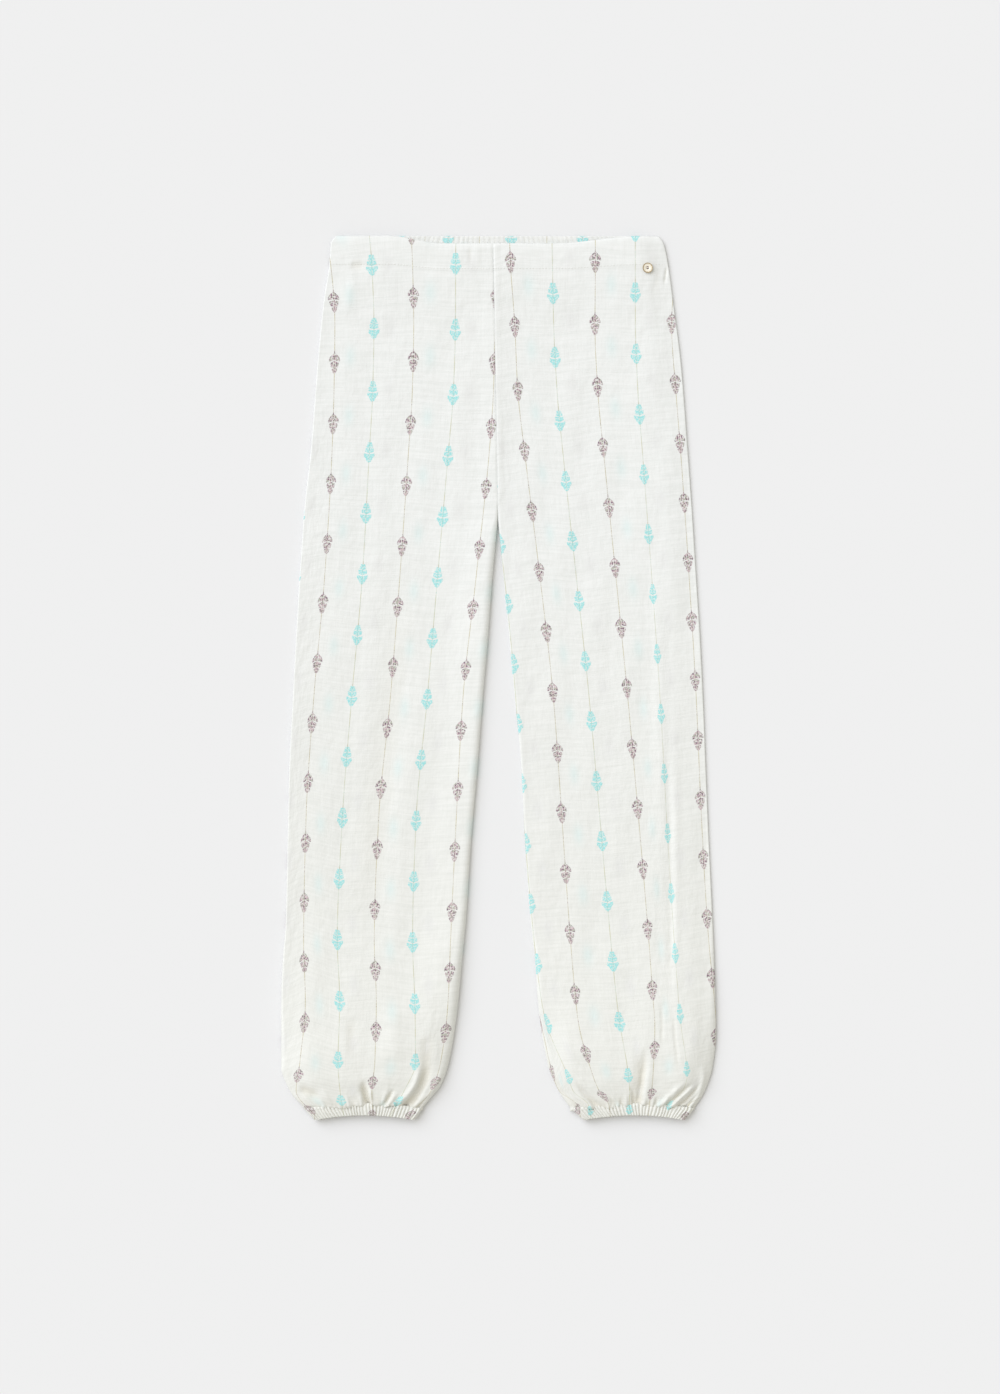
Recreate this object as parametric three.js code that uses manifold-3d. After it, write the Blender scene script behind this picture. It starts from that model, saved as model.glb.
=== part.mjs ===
// Harem pants in light woven cotton, laid flat with the front up.
// Millimetres, +Z up, waist toward +Y, underside on z = 0, origin in the middle of the underside.
// Every panel is one layer of cloth with a real wall. Front and back lie on each other and meet in
// rounded folds at the side seams and inseams. The hems fill out above gathered elastic cuffs.

import * as THREE from 'three';
import { mergeVertices } from 'three/addons/utils/BufferGeometryUtils.js';
import Module from 'manifold-3d';

const wasm = await Module();
wasm.setup();

// Driving sizes
const LENGTH = 998;            // waist edge to the end of the cuffs
const WAIST_Y = LENGTH / 2;
const CLOTH = 1.2;             // wall of one layer
const SEAM_GAP = 0.3;          // between two pieces at a seam
const CENTRE_X = -1;           // centre front and centre back seams
const CROTCH_DROP = 314;       // waist edge to the crotch
const CROTCH_ROLL = 8;         // above the crotch, where the centre seam rolls down into the inseams
const INSEAM_PART = 20;        // below the crotch, where the two inseams leave the centre line
const CUFF_HEIGHT = 14;
const CUFF_ARC = 5;            // rise of the cuffs' edges in their middle
const CUFF_DROP = LENGTH - CUFF_HEIGHT;

// Outline of each leg: distance below the waist edge, side seam, and centre seam or inseam
const LEFT_OUTLINE = [
  { drop: 0, outer: -183.9, inner: CENTRE_X },
  { drop: 8, outer: -189.6, inner: CENTRE_X },
  { drop: 32, outer: -191.3, inner: CENTRE_X },
  { drop: 72, outer: -197.5, inner: CENTRE_X },
  { drop: 145, outer: -204.7, inner: CENTRE_X },
  { drop: 240, outer: -212.0, inner: CENTRE_X },
  { drop: CROTCH_DROP, outer: -220.0, inner: CENTRE_X },
  { drop: 341, outer: -221.8, inner: -4.8 },
  { drop: 393, outer: -225.4, inner: -9.1 },
  { drop: 450, outer: -228.7, inner: -12.6 },
  { drop: 520, outer: -232.4, inner: -17.9 },
  { drop: 600, outer: -236.4, inner: -24.1 },
  { drop: 680, outer: -238.3, inner: -31.1 },
  { drop: 775, outer: -240.5, inner: -37.3 },
  { drop: 820, outer: -243.9, inner: -41.7 },
  { drop: 860, outer: -245.5, inner: -45.3 },
  { drop: 900, outer: -245.5, inner: -50.3 },
  { drop: 940, outer: -245.5, inner: -58.2 },
  { drop: 960, outer: -238.6, inner: -66.1 },
  { drop: 972, outer: -231.5, inner: -75.6 },
  { drop: CUFF_DROP, outer: -220.0, inner: -85.5 },
];
const RIGHT_OUTLINE = [
  { drop: 0, outer: 181.5, inner: CENTRE_X },
  { drop: 8, outer: 187.9, inner: CENTRE_X },
  { drop: 32, outer: 193.2, inner: CENTRE_X },
  { drop: 72, outer: 198.6, inner: CENTRE_X },
  { drop: 145, outer: 208.4, inner: CENTRE_X },
  { drop: 240, outer: 214.9, inner: CENTRE_X },
  { drop: CROTCH_DROP, outer: 219.8, inner: CENTRE_X },
  { drop: 341, outer: 221.4, inner: 3.0 },
  { drop: 393, outer: 224.2, inner: 7.4 },
  { drop: 450, outer: 227.1, inner: 12.1 },
  { drop: 520, outer: 230.6, inner: 17.9 },
  { drop: 600, outer: 233.7, inner: 25.5 },
  { drop: 680, outer: 237.0, inner: 29.4 },
  { drop: 775, outer: 241.6, inner: 36.2 },
  { drop: 820, outer: 243.5, inner: 41.2 },
  { drop: 860, outer: 244.8, inner: 43.7 },
  { drop: 900, outer: 245.5, inner: 48.6 },
  { drop: 940, outer: 240.6, inner: 57.3 },
  { drop: 960, outer: 233.4, inner: 66.9 },
  { drop: 972, outer: 227.2, inner: 75.0 },
  { drop: CUFF_DROP, outer: 218.0, inner: 85.0 },
];

// Height of the laid garment beside its rounded edges, and how far the middle sinks or crowns
const LOFT = [
  { drop: 0, height: 6.2, sink: 0 },
  { drop: 42, height: 6.2, sink: 0 },
  { drop: 110, height: 5.6, sink: 1.7 },
  { drop: 600, height: 5.6, sink: 1.7 },
  { drop: 760, height: 6.2, sink: 1.5 },
  { drop: 830, height: 8.5, sink: 0 },
  { drop: 890, height: 13, sink: -2.5 },
  { drop: 930, height: 15.5, sink: -4 },
  { drop: 952, height: 15.5, sink: -4 },
  { drop: 970, height: 14, sink: -2.5 },
  { drop: CUFF_DROP, height: 12, sink: -0.6 },
];

// Large folds in the front: a line on the cloth, its half width, and its height, below zero for a
// trough. Points are x and the distance below the waist edge.
const FRONT_FOLDS = [
  { x0: -98, drop0: 366, x1: -151, drop1: 807, half: 24, rise: -0.5 },
  { x0: -70, drop0: 380, x1: -118, drop1: 820, half: 22, rise: 1.1 },
  { x0: -117, drop0: 870, x1: -117, drop1: 940, half: 15, rise: 2.2 },
  { x0: -146, drop0: 950, x1: -147, drop1: 990, half: 7, rise: -2.4 },
  { x0: -130, drop0: 962, x1: -136, drop1: 986, half: 6, rise: 2 },
  { x0: -76, drop0: 905, x1: -92, drop1: 984, half: 8, rise: -2.6 },
  { x0: -200, drop0: 940, x1: -186, drop1: 984, half: 9, rise: 1.8 },
  { x0: 177, drop0: 330, x1: 186, drop1: 760, half: 8, rise: 1.2 },
  { x0: 197, drop0: 520, x1: 200, drop1: 930, half: 7, rise: 1.5 },
  { x0: 168, drop0: 915, x1: 150, drop1: 975, half: 9, rise: -2.2 },
  { x0: 192, drop0: 982, x1: 226, drop1: 952, half: 6, rise: -2.6 },
  { x0: 206, drop0: 984, x1: 232, drop1: 930, half: 7, rise: 2.2 },
  { x0: 92, drop0: 988, x1: 56, drop1: 920, half: 8, rise: -2.4 },
  { x0: 108, drop0: 980, x1: 92, drop1: 952, half: 7, rise: 2 },
];

// Long folds fade out over this share of their length, or this many millimetres if that is less
const FOLD_FADE_SHARE = 0.3;
const FOLD_FADE_MOST = 60;

// Gathers across the front of each hem, across each cuff and across the back waist
const HEM_GATHERS = { count: 11, rise: 1.3, start: 935, full: 975 };
const HEM_ARC_START = 880;
const CUFF = {
  gathers: 36, rise: 0.45, height: 11.5, round: 6,
  bottomOuter: { left: -206.5, right: 211 },
  bottomInner: { left: -92.5, right: 96 },
};
const CASING = { height: 34, thick: 1.9, gathers: 60, rise: 0.45, plainSteps: 32, endShare: 0.93 };
const FACING = { depth: 32, top: 0.2, fold: 12, sideMargin: 10, steps: 24 };

// Rounded edges of the laid garment
const EDGE_SHARE = 0.12;       // share of a section's places that go round each edge
const EDGE_ROUND = 0.62;       // width of the rounding, for a height of 1
const SEAM_HEIGHT = 2.9;       // of the side seams and inseams above the surface

// Dip of the front waist edge, which shows the gathered back casing behind it
const DIP = { depth: 8.5, flatX: 66, endX: 102, fadeDrop: 70 };

// Small round badge on the front, near the right side seam
const BADGE = {
  x: 168, drop: 36.5, radius: 5.6, thick: 1.5, edge: 0.4,
  rim: 0.9, rimRise: 0.5, holeRadius: 0.65, holeOffset: 1.5,
};

const CLOTH_COLOUR = 0xeef0ec;
const BADGE_COLOUR = 0xc9b58e;

function smooth(from, to, value) {
  const t = Math.min(Math.max((value - from) / (to - from), 0), 1);
  return t * t * (3 - 2 * t);
}

// Smooth curve through one column of a table, with no overshoot between its rows
function curveThrough(table, column) {
  const xs = table.map((row) => row.drop);
  const ys = table.map((row) => row[column]);
  const slopes = xs.slice(1).map((x, i) => (ys[i + 1] - ys[i]) / (x - xs[i]));
  const tangents = ys.map((_, i) => {
    if (i === 0 || i === ys.length - 1) return slopes[Math.max(i - 1, 0)];
    const before = slopes[i - 1];
    const after = slopes[i];
    return before * after <= 0 ? 0 : (2 * before * after) / (before + after);
  });
  return (drop) => {
    const at = Math.min(Math.max(drop, xs[0]), xs[xs.length - 1]);
    let i = 0;
    while (i < xs.length - 2 && at > xs[i + 1]) i += 1;
    const span = xs[i + 1] - xs[i];
    const t = (at - xs[i]) / span;
    const t2 = t * t;
    const t3 = t2 * t;
    return (2 * t3 - 3 * t2 + 1) * ys[i] + (t3 - 2 * t2 + t) * span * tangents[i]
      + (3 * t2 - 2 * t3) * ys[i + 1] + (t3 - t2) * span * tangents[i + 1];
  };
}

const loftHeight = curveThrough(LOFT, 'height');
const loftSink = curveThrough(LOFT, 'sink');

function makeLeg(outline, side) {
  return { side, outer: curveThrough(outline, 'outer'), inner: curveThrough(outline, 'inner') };
}
const leftLeg = makeLeg(LEFT_OUTLINE, -1);
const rightLeg = makeLeg(RIGHT_OUTLINE, 1);

// Height that one large fold adds at a point of the front
function foldRise(fold, x, drop) {
  const alongX = fold.x1 - fold.x0;
  const alongDrop = fold.drop1 - fold.drop0;
  const length = Math.hypot(alongX, alongDrop);
  const along = ((x - fold.x0) * alongX + (drop - fold.drop0) * alongDrop) / length;
  const across = ((x - fold.x0) * alongDrop - (drop - fold.drop0) * alongX) / length;
  const fade = Math.min(length * FOLD_FADE_SHARE, FOLD_FADE_MOST);
  const reach = smooth(-fade, fade, along) * smooth(-fade, fade, length - along);
  return fold.rise * reach * Math.exp(-((across / fold.half) ** 2));
}

// Uneven gathers: a wave of so many ridges, some wider and some higher than others
function gatherWave(share, count, phase) {
  const turn = 2 * Math.PI * share;
  const start = 2 * Math.PI * phase;
  const drift = 0.35 * Math.sin(3 * turn + start) + 0.2 * Math.sin(7 * turn);
  const size = 0.8 + 0.2 * Math.cos(5 * turn + start);
  return size * Math.cos(count * turn + drift);
}

// Distance of a section's place from its inner edge, and how far it has rolled down toward the
// seam at each edge. s runs from 0 at the inner edge to 1 at the outer edge.
function placeInSection(width, round, s) {
  const inFold = Math.min(s / EDGE_SHARE, 1) * Math.PI / 2;
  const outFold = Math.min((1 - s) / EDGE_SHARE, 1) * Math.PI / 2;
  const middle = (s - EDGE_SHARE) / (1 - 2 * EDGE_SHARE);
  let across = round + middle * (width - 2 * round);
  if (s < EDGE_SHARE) across = round * (1 - Math.cos(inFold));
  if (s > 1 - EDGE_SHARE) across = width - round * (1 - Math.cos(outFold));
  return { across, rollIn: 1 - Math.sin(inFold), rollOut: 1 - Math.sin(outFold) };
}

// A point on the outside of the garment: s runs from the centre seam or inseam to the side seam
function clothPoint(leg, face, drop, s) {
  const sewn = leg.side * SEAM_GAP / 2;
  const inner = leg.inner(drop) + sewn * (1 - smooth(CROTCH_DROP, CROTCH_DROP + INSEAM_PART, drop));
  const width = Math.abs(leg.outer(drop) - inner);
  const height = loftHeight(drop);
  const place = placeInSection(width, EDGE_ROUND * height, s);
  const x = inner + leg.side * place.across;
  const share = place.across / width;
  const crotch = smooth(CROTCH_DROP - CROTCH_ROLL, CROTCH_DROP, drop);
  const roll = Math.min(place.rollIn * crotch + place.rollOut, 1);
  const arc = CUFF_ARC * (1 - (2 * share - 1) ** 2) * smooth(HEM_ARC_START, CUFF_DROP, drop);
  if (face === 'back') {
    return new THREE.Vector3(x, WAIST_Y - drop + arc, roll * (SEAM_HEIGHT - SEAM_GAP / 2));
  }
  const gathers = HEM_GATHERS.rise * smooth(HEM_GATHERS.start, HEM_GATHERS.full, drop)
    * gatherWave(share, HEM_GATHERS.count, 0.1 * leg.side);
  const folds = FRONT_FOLDS.reduce((sum, fold) => sum + foldRise(fold, x, drop), 0);
  const top = height - loftSink(drop) * (1 - (2 * share - 1) ** 4) + (gathers + folds) * (1 - roll);
  const dip = DIP.depth * (1 - smooth(DIP.flatX, DIP.endX, Math.abs(x)))
    * (1 - smooth(0, DIP.fadeDrop, drop));
  return new THREE.Vector3(x, WAIST_Y - drop - dip + arc, top - roll * (top - SEAM_HEIGHT - SEAM_GAP / 2));
}

// Outward direction at that point, kept square to the edge where a piece ends
function clothNormal(leg, face, drop, s, atEnd) {
  const stepAcross = 0.004;
  const stepDown = 1;
  const acrossLine = clothPoint(leg, face, drop, Math.min(s + stepAcross, 1))
    .sub(clothPoint(leg, face, drop, Math.max(s - stepAcross, 0)));
  const downLine = clothPoint(leg, face, Math.min(drop + stepDown, CUFF_DROP), s)
    .sub(clothPoint(leg, face, Math.max(drop - stepDown, 0), s));
  const normal = new THREE.Vector3().crossVectors(acrossLine, downLine);
  if (atEnd) normal.y = 0;
  const joined = s === 0 && drop <= CROTCH_DROP - CROTCH_ROLL;
  if (joined) normal.x = 0;
  if (s === 1 || (s === 0 && drop >= CROTCH_DROP)) normal.z = 0;
  normal.normalize();
  if (s === 1) normal.x = leg.side * Math.abs(normal.x);
  else if (s === 0 && drop >= CROTCH_DROP) normal.x = -leg.side * Math.abs(normal.x);
  else if (normal.z * (face === 'front' ? 1 : -1) < 0) normal.negate();
  return normal;
}

// Triangles between two rows of points, which may differ in number
function zipRows(faces, rowA, rowB) {
  let a = 0;
  let b = 0;
  while (a < rowA.length - 1 || b < rowB.length - 1) {
    const nextA = a < rowA.length - 1 ? rowA[a + 1].share : Infinity;
    const nextB = b < rowB.length - 1 ? rowB[b + 1].share : Infinity;
    const both = (rowA[a].share + rowB[b].share) / 2;
    if (nextA - both <= nextB - both) {
      faces.push([rowA[a].id, rowA[a + 1].id, rowB[b].id]);
      a += 1;
    } else {
      faces.push([rowA[a].id, rowB[b + 1].id, rowB[b].id]);
      b += 1;
    }
  }
}

// Closed solid from rows of outside points and rows of inside points. Open rows also get a wall
// along their two ends, closed rows are rings.
function wallSolid(outsideRows, insideRows, closedRings) {
  const points = [];
  const register = (rows) => rows.map((row) => {
    const marked = row.map(({ point, share }) => {
      points.push(point);
      return { id: points.length - 1, share };
    });
    if (closedRings) marked.push({ id: marked[0].id, share: 1 });
    return marked;
  });
  const outside = register(outsideRows);
  const inside = register(insideRows);
  const faces = [];
  for (let k = 0; k < outside.length - 1; k += 1) zipRows(faces, outside[k], outside[k + 1]);
  for (let k = 0; k < inside.length - 1; k += 1) zipRows(faces, inside[k + 1], inside[k]);
  const last = outside.length - 1;
  zipRows(faces, inside[0], outside[0]);
  zipRows(faces, outside[last], inside[inside.length - 1]);
  if (!closedRings) {
    const column = (rows, pick) => rows.map((row, k) => ({ id: pick(row).id, share: k / (rows.length - 1) }));
    const first = (row) => row[0];
    const final = (row) => row[row.length - 1];
    zipRows(faces, column(outside, first), column(inside, first));
    zipRows(faces, column(inside, final), column(outside, final));
  }
  return closedGeometry(points, faces);
}

// Geometry with its faces turned outward
function closedGeometry(points, faces) {
  const volume = faces.reduce((sum, [a, b, c]) => sum
    + points[a].dot(new THREE.Vector3().crossVectors(points[b], points[c])), 0);
  const order = volume > 0 ? faces.flat() : faces.map(([a, b, c]) => [a, c, b]).flat();
  const geometry = new THREE.BufferGeometry();
  geometry.setAttribute('position',
    new THREE.Float32BufferAttribute(points.flatMap((point) => point.toArray()), 3));
  geometry.setIndex(order);
  geometry.computeVertexNormals();
  return geometry;
}

// Places across a section: three steps round each folded edge and so many between them
function sectionShares(middleSteps) {
  const foldSteps = 3;
  const shares = [];
  for (let i = 0; i < foldSteps; i += 1) shares.push((EDGE_SHARE * i) / foldSteps);
  for (let i = 0; i <= middleSteps; i += 1) {
    shares.push(EDGE_SHARE + ((1 - 2 * EDGE_SHARE) * i) / middleSteps);
  }
  for (let i = foldSteps - 1; i >= 0; i -= 1) shares.push(1 - (EDGE_SHARE * i) / foldSteps);
  return shares;
}

// A leg panel: rows down the cloth, closer together at the crotch and in the full hem
function legPanel(leg, face, drops, middleSteps) {
  const rows = (inward) => drops.map((drop, k) => {
    const atEnd = k === 0 || k === drops.length - 1;
    return sectionShares(middleSteps(drop)).map((s) => {
      const point = clothPoint(leg, face, drop, s);
      if (inward) point.addScaledVector(clothNormal(leg, face, drop, s, atEnd), -CLOTH);
      return { point, share: s };
    });
  });
  return wallSolid(rows(false), rows(true), false);
}

// Rows of the leg panels below the waist, close together at the crotch and in the full hem
const LEG_DROPS = [
  80, 150, 230, CROTCH_DROP - CROTCH_ROLL, CROTCH_DROP - CROTCH_ROLL / 2, CROTCH_DROP, 322, 345, 400,
  470, 550, 630, 710, 775, 820, 855, 880, 900, 920, 935, 948, 958, 967, 975, CUFF_DROP - SEAM_GAP,
];
const FRONT_DROPS = [0, 10, 36, ...LEG_DROPS];
const BACK_DROPS = [CASING.height + SEAM_GAP, ...LEG_DROPS];
const FULL_HEM_DROP = 870;
const GATHERED_HEM_DROP = 930;
const PLAIN_FRONT_STEPS = 12;
const BACK_STEPS = 8;

function frontSteps(drop) {
  if (drop < FULL_HEM_DROP) return PLAIN_FRONT_STEPS;
  return drop < GATHERED_HEM_DROP ? 2 * HEM_GATHERS.count : 4 * HEM_GATHERS.count;
}

function backSteps() {
  return BACK_STEPS;
}

// Facing inside the top of the front: made from the front's own points, moved in
function frontFacing() {
  const rows = (offset) => [FACING.top, FACING.fold, FACING.depth].map((drop) => {
    const left = leftLeg.outer(drop) + FACING.sideMargin;
    const right = rightLeg.outer(drop) - FACING.sideMargin;
    return Array.from({ length: FACING.steps + 1 }, (_, i) => {
      const share = i / FACING.steps;
      const x = left + share * (right - left);
      const leg = x < CENTRE_X ? leftLeg : rightLeg;
      const round = EDGE_ROUND * loftHeight(drop);
      const width = Math.abs(leg.outer(drop) - leg.inner(drop));
      const middle = (Math.abs(x - leg.inner(drop)) - round) / (width - 2 * round);
      const s = EDGE_SHARE + Math.max(middle, 0) * (1 - 2 * EDGE_SHARE);
      const point = clothPoint(leg, 'front', drop, s);
      return { point: new THREE.Vector3(x, point.y, point.z - offset), share };
    });
  });
  return wallSolid(rows(CLOTH + SEAM_GAP), rows(2 * CLOTH + SEAM_GAP), false);
}

// Back waist casing over its elastic: flat below, gathered above, rounding up to the side seams
function backCasing() {
  const places = (steps) => Array.from({ length: steps + 1 }, (_, i) => i / steps);
  const shares = places(4 * CASING.gathers);
  const plainShares = places(CASING.plainSteps);
  const outsideAt = (drop, share) => {
    const leg = share < 0.5 ? leftLeg : rightLeg;
    const s = Math.abs(2 * share - 1);
    const whole = EDGE_SHARE + s * (1 - EDGE_SHARE);
    const point = clothPoint(leg, 'back', drop, whole);
    if (share === 0.5) point.x = CENTRE_X;
    return point;
  };
  const drops = [0, CASING.height];
  const below = drops.map((drop) => plainShares.map((share) => ({ point: outsideAt(drop, share), share })));
  const above = drops.map((drop) => shares.map((share) => {
    const point = outsideAt(drop, share);
    const side = Math.abs(2 * share - 1);
    const ends = smooth(CASING.endShare, 1, side);
    const wave = CASING.rise * gatherWave(share, CASING.gathers, 0.3);
    point.x += (share < 0.5 ? 1 : -1) * CLOTH * ends;
    point.z = Math.max(point.z, (CASING.thick + wave) * (1 - ends) + point.z * ends);
    return { point, share };
  }));
  return wallSolid(below, above, false);
}

// Gathered elastic cuff: a flattened tube, flat where it rests and ribbed over its front
function cuff(leg) {
  const hand = leg.side < 0 ? 'left' : 'right';
  const ribbedPlaces = 4 * CUFF.gathers;
  const plainPlaces = 28;
  const backPlaces = 14;
  const ring = (level, wall, frontPlaces) => {
    const inner = THREE.MathUtils.lerp(CUFF.bottomInner[hand], leg.inner(CUFF_DROP), level) + leg.side * wall;
    const outer = THREE.MathUtils.lerp(CUFF.bottomOuter[hand], leg.outer(CUFF_DROP), level) - leg.side * wall;
    const width = Math.abs(outer - inner);
    const base = -WAIST_Y + level * CUFF_HEIGHT;
    const low = wall;
    const high = CUFF.height - wall;
    const middle = (low + high) / 2;
    const ribRise = wall > 0 ? 0 : CUFF.rise;
    const bend = (s, share, upper) => {
      const place = placeInSection(width, CUFF.round - wall, s);
      const roll = Math.min(place.rollIn + place.rollOut, 1);
      const across = place.across / width;
      const rib = ribRise * gatherWave(across, CUFF.gathers, 0.17 * leg.side) * (1 - roll);
      const y = base + CUFF_ARC * (1 - (2 * across - 1) ** 2);
      const z = upper ? high + rib - roll * (high - middle) : low + roll * (middle - low);
      return { point: new THREE.Vector3(inner + leg.side * place.across, y, z), share };
    };
    const places = [];
    for (let i = 0; i < frontPlaces; i += 1) {
      places.push(bend(i / frontPlaces, (0.5 * i) / frontPlaces, true));
    }
    for (let i = 0; i < backPlaces; i += 1) {
      places.push(bend(1 - i / backPlaces, 0.5 + (0.5 * i) / backPlaces, false));
    }
    return places;
  };
  const outside = [0, 0.5, 1].map((level) => ring(level, 0, ribbedPlaces));
  const inside = [0, 1].map((level) => ring(level, CLOTH, plainPlaces));
  return wallSolid(outside, inside, true);
}

// Badge: a thin round plate with a raised rim and four sewing holes
function badge() {
  const { radius, thick, edge, rim, rimRise, holeRadius, holeOffset } = BADGE;
  const top = thick + rimRise;
  const profile = [[0, 0], [radius - edge, 0], [radius, edge], [radius, top - edge], [radius - edge, top],
    [radius - rim, top], [radius - rim - edge, thick], [0, thick]];
  const plate = new THREE.LatheGeometry(profile.map(([r, z]) => new THREE.Vector2(r, z)), 28);
  plate.rotateX(Math.PI / 2);
  let solid = toManifold(plate);
  for (const [sx, sy] of [[-1, -1], [1, -1], [1, 1], [-1, 1]]) {
    const drill = new THREE.CylinderGeometry(holeRadius, holeRadius, 4 * thick, 10);
    drill.rotateX(Math.PI / 2);
    drill.translate(sx * holeOffset, sy * holeOffset, thick / 2);
    solid = solid.subtract(toManifold(drill));
  }
  return fromManifold(solid);
}

function toManifold(geometry) {
  const bare = geometry.clone();
  bare.deleteAttribute('normal');
  bare.deleteAttribute('uv');
  const merged = mergeVertices(bare, 1e-4);
  return new wasm.Manifold(new wasm.Mesh({
    numProp: 3,
    vertProperties: new Float32Array(merged.attributes.position.array),
    triVerts: new Uint32Array(merged.index.array),
  }));
}

function fromManifold(solid) {
  const mesh = solid.getMesh();
  const geometry = new THREE.BufferGeometry();
  geometry.setAttribute('position', new THREE.BufferAttribute(new Float32Array(mesh.vertProperties), 3));
  geometry.setIndex(Array.from(mesh.triVerts));
  geometry.computeVertexNormals();
  return geometry;
}

const pants = new THREE.Group();

function addPiece(name, geometry, colour, roughness, metalness) {
  const material = new THREE.MeshStandardMaterial({ color: colour, roughness, metalness });
  const piece = new THREE.Mesh(geometry, material);
  piece.name = name;
  pants.add(piece);
  return piece;
}

function addCloth(name, geometry) {
  return addPiece(name, geometry, CLOTH_COLOUR, 0.9, 0);
}

addCloth('back_left_leg', legPanel(leftLeg, 'back', BACK_DROPS, backSteps));
addCloth('back_right_leg', legPanel(rightLeg, 'back', BACK_DROPS, backSteps));
addCloth('front_left_leg', legPanel(leftLeg, 'front', FRONT_DROPS, frontSteps));
addCloth('front_right_leg', legPanel(rightLeg, 'front', FRONT_DROPS, frontSteps));
addCloth('back_waist_casing', backCasing());
addCloth('front_waist_facing', frontFacing());
addCloth('left_ankle_cuff', cuff(leftLeg));
addCloth('right_ankle_cuff', cuff(rightLeg));

const badgePiece = addPiece('badge', badge(), BADGE_COLOUR, 0.35, 1);
badgePiece.position.set(BADGE.x, WAIST_Y - BADGE.drop, loftHeight(BADGE.drop) + SEAM_GAP);

export default pants;
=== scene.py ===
import math

import bpy
import numpy as np
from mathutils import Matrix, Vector


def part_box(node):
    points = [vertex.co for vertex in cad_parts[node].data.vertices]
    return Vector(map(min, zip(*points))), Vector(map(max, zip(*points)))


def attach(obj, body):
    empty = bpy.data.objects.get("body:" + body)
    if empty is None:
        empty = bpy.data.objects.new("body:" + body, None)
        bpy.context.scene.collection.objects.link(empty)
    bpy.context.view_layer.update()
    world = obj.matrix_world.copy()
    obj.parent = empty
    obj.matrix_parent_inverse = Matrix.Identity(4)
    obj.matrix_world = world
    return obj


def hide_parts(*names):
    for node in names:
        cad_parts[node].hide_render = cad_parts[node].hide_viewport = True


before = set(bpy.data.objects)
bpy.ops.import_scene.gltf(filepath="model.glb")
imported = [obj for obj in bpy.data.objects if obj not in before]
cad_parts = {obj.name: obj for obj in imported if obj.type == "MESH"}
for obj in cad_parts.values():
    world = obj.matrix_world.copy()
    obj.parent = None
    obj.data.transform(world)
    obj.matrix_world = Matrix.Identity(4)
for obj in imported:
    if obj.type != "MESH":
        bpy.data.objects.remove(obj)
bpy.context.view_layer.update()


# Front legs
# Each front leg is one panel of light slub cotton, cut from the waist edge to the ankle. It is sewn to the
# other front at the centre, and to its back panel at the side seam and the inseam, and lies on that panel
# in soft creases. The tables here are in millimetres: drop is the distance below the waist edge.

MM = 0.001
WAIST_Y = 499.0
CENTRE_TOP, CENTRE_LOW = -6.5, -1.0    # the centre seam leans a little toward the right leg, from x to x
CROTCH_DROP = 314.0
CROTCH_ROLL = 8.0            # the inner edges start to round down this far above the crotch
INSEAM_PART = 20.0           # and have parted this far below it
CUFF_DROP = 984.0
CUFF_ARC = 5.5               # the cuff's middle bows up this far, and the hem with it from this drop on
HEM_ARC_START = 880.0
SEAM_HEIGHT = 2.9
SEAM_GAP = 0.1
EDGE_ROUND = 0.62            # width of a rounded edge for its height
CLOTH_WALL = 0.6


def table(names, *rows):
    """A short table as named columns."""
    return dict(zip(names.split(), np.array(rows, float).T))


OUTLINE = table(
    "drop left_side left_inner right_side right_inner",
    (0, -183.9, -1, 180, -1), (8, -189.6, -1, 186, -1), (32, -191.3, -1, 191.2, -1),
    (72, -197.5, -1, 196.6, -1), (145, -204.7, -1, 205.8, -1), (240, -212, -1, 213.2, -1),
    (314, -220, -1, 218.4, -1), (341, -221.8, -3, 220.2, 1.2), (393, -225.4, -7.8, 223.4, 6),
    (450, -228.7, -11.9, 227.1, 11.4), (520, -232.4, -17.9, 230.6, 17.9), (600, -236.4, -24.1, 233.7, 25.5),
    (680, -238.3, -31.1, 237, 29.4), (775, -240.5, -37.3, 241.6, 36.2), (820, -243.9, -41.7, 243.5, 41.2),
    (860, -245.5, -45.3, 244.8, 43.7), (900, -245.5, -50.3, 245.5, 48.6), (940, -245.5, -58.2, 241.2, 56.6),
    (960, -238.6, -66.1, 235, 65), (972, -231.5, -75.6, 229.5, 71.6), (984, -220, -85.5, 221.2, 80.5),
)

# Height of the laid garment beside its rounded edges, and how far its middle sinks or crowns
LOFT = table(
    "drop height sink",
    (0, 6.2, 0), (42, 6.2, 0), (110, 5.6, 1.7), (600, 5.6, 1.7), (760, 6.2, 1.5), (830, 8.5, 0),
    (890, 11, -2), (930, 12.6, -3.4), (952, 12.6, -3.4), (970, 11.6, -2.2), (984, 10.2, -0.8),
    (990, 9.6, -0.3),
)

# Where the six woven stripes of each front run, by drop, and where each stripe's leaves lie: the middle of
# the topmost one, of the second after it and of the twelfth after it
LEFT_STRIPES = table(
    "drop one two three four five six",
    (0, -252, -200, -146, -98.7, -48.5, -2.5),
    (30, -245, -190, -143.4, -97.4, -48.6, -2.9),
    (100, -236, -185, -140.9, -96, -49, -4),
    (175, -229, -186, -142.4, -97.6, -51.2, -6),
    (245, -221, -188.3, -146.2, -102, -57, -10.8),
    (385, -229, -196.6, -154.1, -111.7, -69.1, -25.5),
    (521, -240, -208.8, -166, -122.4, -80.6, -40.3),
    (659, -247, -217.6, -176.7, -135.7, -93.3, -48),
    (795, -253, -220.2, -182.2, -140.5, -97.3, -54.3),
    (865, -255, -218, -179.2, -138, -94.6, -57.2),
    (932, -256, -224, -180.9, -139.5, -93.6, -65.5),
    (965, -256, -228.5, -178.6, -142.8, -107, -76.6),
    (992, -240, -207.6, -174.9, -142.1, -121.8, -102.5),
)
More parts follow.
